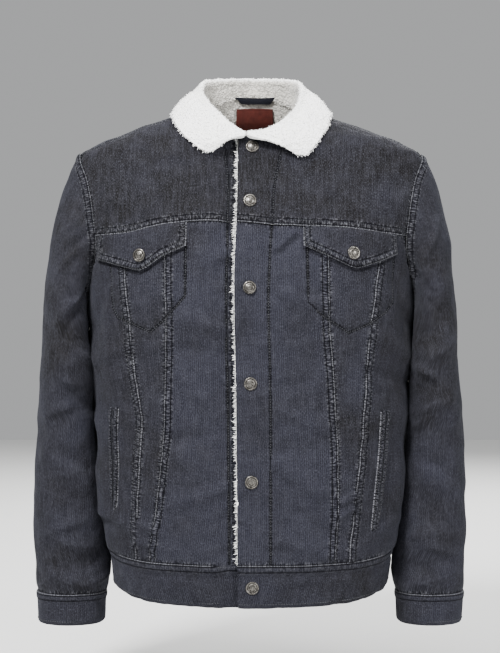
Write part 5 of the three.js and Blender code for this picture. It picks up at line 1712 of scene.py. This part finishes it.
class JACKET_OT_collar(bpy.types.Operator):
    """Rolls the pile collar and covers it with curls"""
    bl_idname = "jacket.collar"
    bl_label = "Collar"

    def execute(self, context):
        sizes = context.scene.jacket_sizes
        grid = collar_grid()
        normals = grid_normals(grid)
        nubs = 0.7 * lumpy(grid, 9, 301) + 0.8 * lumpy(grid, 4.2, 302)
        outer = grid + normals * (nubs - 0.4)[..., None]
        inner = grid - normals * COLLAR_WALL
        materials = [finish("pile"), finish("corduroy")]
        far = np.full(grid.shape[:2], NO_SEAM)
        row = np.arange(len(grid))[:, None]
        # The stand's rows, inside the neck, are marked for painted shade.
        inside = np.broadcast_to(1 - smoothstep(row, 13, 20), far.shape)
        marks = {"band": far, "pull": far, "along": far * 0, "row": far, "under": far, "inside": inside}
        made = wall_object("collar", outer, inner, materials, marks, 0.4)
        carried(made, "pile", "collar")
        length = sizes.curl_length / MM
        spacing = sizes.curl_spacing / MM
        points, ways = scattered(outer, normals, spacing, 310, slice(15, None))
        rng = np.random.default_rng(311)
        lengths = length * rng.uniform(0.5, 1.0, len(points))
        parts = [tufts(points - ways * 0.8, ways, lengths, lengths * 0.55, 312, 0.7)]
        rim_points = even_points(outer[-1], 0.9)
        down = unit(np.stack([rim_points[:, 0], rim_points[:, 1], rim_points[:, 2] * 0 - 90], axis=-1))
        lengths = length * rng.uniform(0.5, 1.25, len(rim_points))
        jitter = rng.normal(scale=0.8, size=rim_points.shape)
        parts.append(tufts(rim_points + jitter, down, lengths, lengths * 0.32, 313, 0.35))
        ends = [outer[:, 0], outer[:, -1]]
        for n, end in enumerate(ends):
            end_points = even_points(end[20:], 1.1)
            way = unit(end_points - outer[30, 8 if n == 0 else -9])
            lengths = length * rng.uniform(0.7, 1.3, len(end_points))
            parts.append(tufts(end_points, way, lengths, lengths * 0.35, 315 + n, 0.4))
        foot = even_points(grid[0, 20:-20], 0.8)
        inward = unit(np.stack([-foot[:, 0], 30 - foot[:, 1], foot[:, 2] * 0 - 25], axis=-1))
        for n, step_in in enumerate((1.5, 3.5)):
            lengths = length * rng.uniform(0.9, 1.4, len(foot))
            parts.append(tufts(foot + inward * step_in, inward, lengths, lengths * 0.5, 320 + n, 0.6))
        vertices, faces = joined(parts)
        curls = new_object("collar_curls", vertices, faces, [finish("pile")], sharp=0)
        # The curls at the collar's foot are marked for painted shade.
        at_foot = sum(len(part[0]) for part in parts[-2:])
        point_mark(curls, "inside", np.arange(len(vertices)) >= len(vertices) - at_foot)
        carried(curls, "pile")
        return {"FINISHED"}


class JACKET_OT_front_pile(bpy.types.Operator):
    """Lays the strip of pile behind the front edge, with the curls that show past it"""
    bl_idname = "jacket.front_pile"
    bl_label = "Pile at the front edge"

    def execute(self, context):
        z = np.linspace(-599, -38, 270)[:, None]
        across = np.linspace(-0.4, 14, 10)[None]
        x = front_edge_at(z) + across
        angles = angle_at(x, z)
        z = np.broadcast_to(z, x.shape)
        grid = body_point(angles, z, -EDGE_PILE_LIFT)
        normals = body_outward(grid)
        outer = grid + normals * (0.4 * lumpy(grid, 4, 401))[..., None]
        made = wall_object("front_edge_facing", outer, grid - normals * EDGE_PILE_WALL, [finish("pile")])
        carried(made, "pile", "front_edge_facing")
        rng = np.random.default_rng(402)
        edge = body_point(angle_at(front_edge_at(z[:, 0]) + 0.5, z[:, 0]), z[:, 0], -EDGE_PILE_LIFT - 0.8)
        points = even_points(edge, 0.7)
        points = points + rng.normal(scale=(0.7, 0.5, 0.6), size=points.shape)
        clumps = 1 + 0.5 * wavy(points[:, 2], 3.4, 403) + 0.25 * wavy(points[:, 2], 40, 404)
        lengths = 5.0 * clumps * rng.uniform(0.6, 1.1, len(points))
        ways = np.tile(np.array([-1.0, -0.25, 0.0]), (len(points), 1))
        vertices, faces = tufts(points, ways, lengths, lengths * 0.22, 405, 0.33)
        curls = new_object("front_edge_curls", vertices, faces, [finish("pile")], sharp=0)
        carried(curls, "pile")
        return {"FINISHED"}


def inside_neck_point(x, z, depth):
    angle = angle_at(x, z, True)
    return body_point(np.where(angle < 0, angle + 2 * np.pi, angle), z, -depth)


class JACKET_OT_neck(bpy.types.Operator):
    """Makes the pile inside the back neck, the hanger loop and the leather patch"""
    bl_idname = "jacket.neck"
    bl_label = "Inside the neck"

    def execute(self, context):
        yoke, _ = back_layout()
        part = yoke[LINING_FIRST_ROW:, LINING_FIRST_COLUMN:-LINING_FIRST_COLUMN]
        grid = shoulder_point(part[..., 0], part[..., 1], -LINING_LIFT)
        normals = -body_outward_up(grid)
        inside = grid + normals * PILE_WALL
        inside = inside + normals * (0.5 * lumpy(inside, 7, 501) + 0.5 * lumpy(inside, 3.5, 502))[..., None]
        # The lining inside the neck is marked all over for painted shade.
        made = wall_object("lining_back_neck", inside, grid, [finish("pile")],
                           {"inside": np.ones(inside.shape[:2])})
        carried(made, "pile", "lining_back_neck")
        points, ways = scattered(inside, normals, 3.2, 503)
        lengths = np.random.default_rng(504).uniform(1.2, 2.4, len(points))
        vertices, faces = tufts(points - ways * 0.6, ways, lengths, lengths * 0.7, 505, 0.8)
        curls = new_object("neck_lining_curls", vertices, faces, [finish("pile")], sharp=0)
        # These curls take the painted shade of the neck.
        point_mark(curls, "inside", np.ones(len(vertices)))
        carried(curls, "pile")
        self.make_loop()
        self.make_patch()
        return {"FINISHED"}

    def make_loop(self):
        t = np.linspace(0, 1, 49)[None]
        down = np.linspace(0, 1, 9)[:, None]
        right = LOOP_RIGHT + (LOOP_SLANT + 1.0) * down
        left = LOOP_LEFT - LOOP_SLANT * down
        x = right + (left - right) * t
        z = LOOP_TOP - LOOP_WIDTH * down + 1.2 * np.cos(2 * np.pi * t) * (1 - down) * 0.5
        depth = LINING_LIFT + PILE_WALL + 1.6 + 1.6 * np.sin(np.pi * t) + 0.5 * np.sin(np.pi * down)
        x, z, depth = np.broadcast_arrays(x, z, depth)
        near = inside_neck_point(x, z, depth + LOOP_WALL)
        far = inside_neck_point(x, z, depth)
        made = wall_object("hanger_loop", near, far, [finish("tape")])
        carried(made, "tape", "hanger_loop")

    def make_patch(self):
        u = np.linspace(0, 1, 67)[None]
        v = np.linspace(0, 1, 47)[:, None]
        x = PATCH_RIGHT + (PATCH_LEFT - PATCH_RIGHT) * u
        z = PATCH_TOP + (PATCH_BOTTOM - PATCH_TOP) * v + 0.8 * np.sin(3 * u)
        x, z = np.broadcast_arrays(x, z)
        edge = np.minimum(np.minimum(u, 1 - u) * 55, np.minimum(v, 1 - v) * 38.5)
        lift = 0.35 * smoothstep(edge, 0, 1.4) - 0.35 * np.exp(-((edge - 2.4) / 0.5) ** 2)
        wave = 0.5 * np.sin(5 * u + 1) * (v - 0.3)
        depth = LINING_LIFT + PILE_WALL + 2.2 + wave
        near = inside_neck_point(x, z, depth + PATCH_WALL + lift)
        far = inside_neck_point(x, z, depth)
        made = wall_object("neck_label", near, far, [finish("leather")])
        carried(made, "leather", "neck_label")


class JACKET_OT_pockets(bpy.types.Operator):
    """Makes the chest flaps and the hand pocket welts"""
    bl_idname = "jacket.pockets"
    bl_label = "Flaps and welts"

    def execute(self, context):
        for side, name in ((1, "left"), (-1, "right")):
            self.make_flap(side, name)
            self.make_welt(side, name)
        return {"FINISHED"}

    def make_flap(self, side, name):
        x_edge = through_knots(FLAP_ROWS[side], 9)
        u = x_edge[:, 0][None]
        low = x_edge[:, 1][None]
        t = np.linspace(0, 1, 27)[:, None]
        high = yoke_seam_at(u) - FLAP_TOP_DROP + 1.0
        z = low + (high - low) * t
        x = np.broadcast_to(u, z.shape)
        flat = body_point(angle_at(x, z), z)
        edges = np.concatenate([flat[::-1, 0], flat[0], flat[:, -1]])
        away = nearest_on(edges, flat)[0]
        puff = 0.9 * smoothstep(away, 8, 14) * (1 - 0.7 * t)
        turned = -1.5 * np.exp(-(away / 1.2) ** 2)
        curl = 3.4 * (1 - smoothstep(z - low, 0, 16))
        lift = TRIM_LIFT + FLAP_WALL + puff + turned + curl * 0.6 - 1.4 * smoothstep(t, 0.9, 1.0)
        grid = body_point(angle_at(x, z), z, lift)
        normals = body_outward(grid)
        edges = np.concatenate([grid[::-1, 0], grid[0], grid[:, -1]])
        outer, marks = dressed(grid, normals, [(edges, EDGE)], 0.5)
        inner = body_point(angle_at(x, z), z, TRIM_LIFT * 0.6 + curl * 0.6)
        made = wall_object(f"chest_flap_{name}", outer, inner, [finish("corduroy")], marks, 0.6)
        carried(made, "corduroy", f"chest_flap_{name}")
        SEWN[f"flap_{name}"] = edges

    def make_welt(self, side, name):
        rows = through_knots(WELT_ROWS[side], 18)
        z = rows[:, 0][:, None]
        t = np.linspace(0, 1, 9)[None]
        x = side * (rows[:, 1][:, None] + (rows[:, 2] - rows[:, 1])[:, None] * t)
        z = np.broadcast_to(z, x.shape)
        rim = np.minimum(t, 1 - t) * 12.5
        end = np.minimum(z - z.min(), z.max() - z)
        lift = TRIM_LIFT + WELT_WALL - 1.2 * np.exp(-(rim / 1.3) ** 2) - 1.6 * np.exp(-(end / 2.0) ** 2)
        grid = body_point(angle_at(x, z), z, lift)
        normals = body_outward(grid)
        inner_line, outer_line = grid[:, 0], grid[:, -1]
        seams = [(inner_line, EDGE), (outer_line, EDGE)]
        outer, marks = dressed(grid, normals, seams, 0.4)
        inner = body_point(angle_at(x, z), z, TRIM_LIFT * 0.4)
        made = wall_object(f"hand_pocket_welt_{name}", outer, inner, [finish("corduroy")], marks, 0.6)
        carried(made, "corduroy", f"hand_pocket_welt_{name}")
        SEWN[f"welt_{name}"] = (inner_line, outer_line)


class JACKET_OT_buttons(bpy.types.Operator):
    """Turns one domed button with plain rings, and sets a copy at each place"""
    bl_idname = "jacket.buttons"
    bl_label = "Buttons"

    def execute(self, context):
        pattern = self.make_pattern(context.scene.jacket_sizes.button_diameter)
        places_of = {f"button_front_{n + 1}": place for n, place in enumerate(FRONT_BUTTONS)}
        places_of["button_flap_left"] = FLAP_BUTTONS[1]
        places_of["button_flap_right"] = FLAP_BUTTONS[-1]
        for n, (name, (x, z)) in enumerate(places_of.items()):
            cloth = "flap" if "flap" in name else "waist" if z < WAIST_SEAM_ROWS[0][1] else "front"
            angle = angle_at(float(x), float(z))
            at = body_point(angle, float(z), BUTTON_LIFT[cloth])
            way = body_normal(*body_point(angle, float(z), 0, []))
            turn = Vector((0, 0, 1)).rotation_difference(Vector(way)).to_matrix().to_4x4()
            spin = Matrix.Rotation(0.7 * n, 4, "Z")
            mesh = pattern.data.copy()
            mesh.transform(Matrix.Translation(Vector(at) * MM) @ turn @ spin)
            made = bpy.data.objects.new(f"shank_{name}", mesh)
            context.scene.collection.objects.link(made)
            carried(made, "button", name)
        bpy.data.objects.remove(pattern)
        return {"FINISHED"}

    def make_pattern(self, diameter):
        clear_selection()
        bpy.ops.mesh.primitive_cylinder_add(
            vertices=48, radius=diameter * 0.46, depth=0.0016, end_fill_type="NGON",
            location=(0, 0, 0.0008))
        pattern = bpy.context.object
        bpy.ops.object.mode_set(mode="EDIT")
        bpy.ops.mesh.select_mode(type="FACE")
        bpy.ops.mesh.select_all(action="DESELECT")
        bpy.ops.object.mode_set(mode="OBJECT")
        for polygon in pattern.data.polygons:
            polygon.select = polygon.normal.z > 0.9
        bpy.ops.object.mode_set(mode="EDIT")
        radius = diameter * 0.46
        rings = [
            (radius * 1.09, 0.0003), (radius * 1.09, 0.0004), (radius * 1.0, 0.0004),
            (radius * 0.88, 0.0001), (radius * 0.80, -0.0005), (radius * 0.74, -0.0001),
            (radius * 0.67, 0.0006), (radius * 0.52, 0.0004), (radius * 0.47, -0.0002),
            (radius * 0.42, 0.0002), (radius * 0.22, 0.0003), (radius * 0.06, 0.0001),
        ]
        now = radius
        for next_radius, rise in rings:
            bpy.ops.mesh.extrude_region_move(TRANSFORM_OT_translate={"value": (0, 0, rise)})
            share = next_radius / now
            bpy.ops.transform.resize(value=(share, share, 1), center_override=(0, 0, 0))
            now = next_radius
        bpy.ops.object.mode_set(mode="OBJECT")
        bevel = pattern.modifiers.new("soft_edges", "BEVEL")
        bevel.width = 0.00012
        bevel.segments = 2
        bevel.limit_method = "ANGLE"
        bevel.angle_limit = math.radians(25)
        bpy.ops.object.modifier_apply(modifier="soft_edges")
        mesh = pattern.data
        mesh.shade_smooth()
        values = []
        for vertex in mesh.vertices:
            reach = math.hypot(vertex.co.x, vertex.co.y) / radius
            # Dark patina in the two ring grooves; the 0.7 on the outer rim is painted shade round the button's
            # edge.
            dark = math.exp(-((reach - 0.80) / 0.06) ** 2) + 0.8 * math.exp(-((reach - 0.47) / 0.04) ** 2)
            values.append(min(1.0, dark + (0.7 if reach > 1.05 else 0.0)))
        point_mark(pattern, "hollow", values)
        mesh.materials.clear()
        mesh.materials.append(finish("metal"))
        return pattern


class JACKET_OT_stitching(bpy.types.Operator):
    """Sews the rows of stitches beside the seams"""
    bl_idname = "jacket.stitching"
    bl_label = "Stitching"

    def execute(self, context):
        double = (NEAR_ROW, FAR_ROW)
        for side, name in ((1, "left"), (-1, "right")):
            sewn = SEWN[f"front_{name}"]
            stitch_at = placket_stitch_at if side > 0 else underlap_stitch_at
            jobs = [
                (f"front_yoke_{name}", sewn["yoke"], double),
                (f"front_centre_{name}", sewn["inner"], double),
                (f"front_side_{name}", sewn["outer"], double),
                (f"front_centre_{name}", down_front(stitch_at, -598, -164, side), (0,)),
                (f"front_yoke_{name}", down_front(stitch_at, -154, -66, side), (0,)),
            ]
            pocket = sewn["pocket"]
            for panel in ("front_centre", "front_middle", "front_side"):
                jobs.append((f"{panel}_{name}", pocket, (0,)))
            welt_in, welt_out = SEWN[f"welt_{name}"]
            jobs.append((f"hand_pocket_welt_{name}", welt_in, (NEAR_ROW,)))
            jobs.append((f"hand_pocket_welt_{name}", welt_out, (NEAR_ROW,)))
            jobs.append((f"chest_flap_{name}", SEWN[f"flap_{name}"], double))
            stitched_rows(f"stitching_front_{name}", jobs)
            sleeve = SEWN[f"sleeve_{name}"]
            stitched_rows(f"stitching_sleeve_{name}", [
                (f"sleeve_{name}", sleeve["arm"], double),
                (f"cuff_{name}", sleeve["cuff_top"], (NEAR_ROW, 6.5)),
                (f"cuff_{name}", sleeve["cuff_bottom"], (6.5,)),
            ])
        side_seams = [front_curve(front_seams(side)["side"], 1) for side in (1, -1)]
        stitched_rows("stitching_back", [
            ("back_yoke", back_yoke_line(), double),
            ("back_yoke", shoulder_line(1), (NEAR_ROW,)),
            ("back_yoke", shoulder_line(-1), (NEAR_ROW,)),
            ("back_panel", side_seams[0], (NEAR_ROW,)),
            ("back_panel", side_seams[1], (NEAR_ROW,)),
        ])
        stitched_rows("stitching_waistband", [
            ("waistband", waist_line(), (NEAR_ROW,)),
            ("waistband", hem_line(), (7.5,)),
        ])
        return {"FINISHED"}


class JACKET_OT_stage(bpy.types.Operator):
    """Lays a pale floor, and sets soft lights and the photograph's camera"""
    bl_idname = "jacket.stage"
    bl_label = "Floor, light and camera"

    def execute(self, context):
        clear_selection()
        bpy.ops.mesh.primitive_grid_add(x_subdivisions=8, y_subdivisions=8, size=FLOOR_SIZE, location=(0, 0, 0))
        floor = context.object
        floor.name = "studio_floor"
        floor.data.transform(Matrix.Translation((0, 0, FLOOR_HEIGHT)))
        floor.data.materials.append(finish("floor"))
        for name, place, size, power in LIGHTS:
            data = bpy.data.lights.new(name, "AREA")
            data.size = size
            data.energy = power
            lamp = bpy.data.objects.new(name, data)
            lamp.location = place
            aim = Vector(LIGHTS_AIM) - Vector(place)
            lamp.rotation_euler = aim.to_track_quat("-Z", "Y").to_euler()
            context.scene.collection.objects.link(lamp)
        world = bpy.data.worlds.new("studio_air")
        world.use_nodes = True
        background = world.node_tree.nodes["Background"]
        background.inputs["Color"].default_value = AIR_COLOUR
        background.inputs["Strength"].default_value = AIR_STRENGTH
        context.scene.world = world
        camera = bpy.data.cameras.new("photo_camera")
        camera.lens = CAMERA_LENS
        camera.sensor_width = CAMERA_SENSOR
        camera.clip_end = 50
        holder = bpy.data.objects.new("photo_camera", camera)
        holder.location = CAMERA_PLACE
        holder.rotation_euler = (math.radians(90), 0, 0)
        context.scene.collection.objects.link(holder)
        context.scene.camera = holder
        return {"FINISHED"}


class JACKET_PT_sewing_room(bpy.types.Panel):
    """Shows the jacket's sizes, colours and steps"""
    bl_idname = "JACKET_PT_sewing_room"
    bl_label = "Jacket"
    bl_space_type = "VIEW_3D"
    bl_region_type = "UI"
    bl_category = "Jacket"

    def draw(self, context):
        layout = self.layout
        for group in (context.scene.jacket_sizes, context.scene.jacket_colours):
            box = layout.box()
            for name in group.__annotations__:
                box.prop(group, name)
        for step in STEPS:
            layout.operator(step.bl_idname)


STEPS = (
    JACKET_OT_fronts, JACKET_OT_back, JACKET_OT_waistband, JACKET_OT_sleeves, JACKET_OT_collar,
    JACKET_OT_front_pile, JACKET_OT_neck, JACKET_OT_pockets, JACKET_OT_buttons,
    JACKET_OT_stitching, JACKET_OT_stage,
)
CLASSES = (JacketSizes, JacketColours, *STEPS, JACKET_PT_sewing_room)


def register():
    for cls in CLASSES:
        bpy.utils.register_class(cls)
    bpy.types.Scene.jacket_sizes = bpy.props.PointerProperty(type=JacketSizes)
    bpy.types.Scene.jacket_colours = bpy.props.PointerProperty(type=JacketColours)


def unregister():
    del bpy.types.Scene.jacket_colours
    del bpy.types.Scene.jacket_sizes
    for cls in reversed(CLASSES):
        bpy.utils.unregister_class(cls)


def main():
    register()
    jacket = bpy.ops.jacket
    jacket.fronts()
    jacket.back()
    jacket.waistband()
    jacket.sleeves()
    jacket.collar()
    jacket.front_pile()
    jacket.neck()
    jacket.pockets()
    jacket.buttons()
    jacket.stitching()
    jacket.stage()


if __name__ == "__main__":
    main()
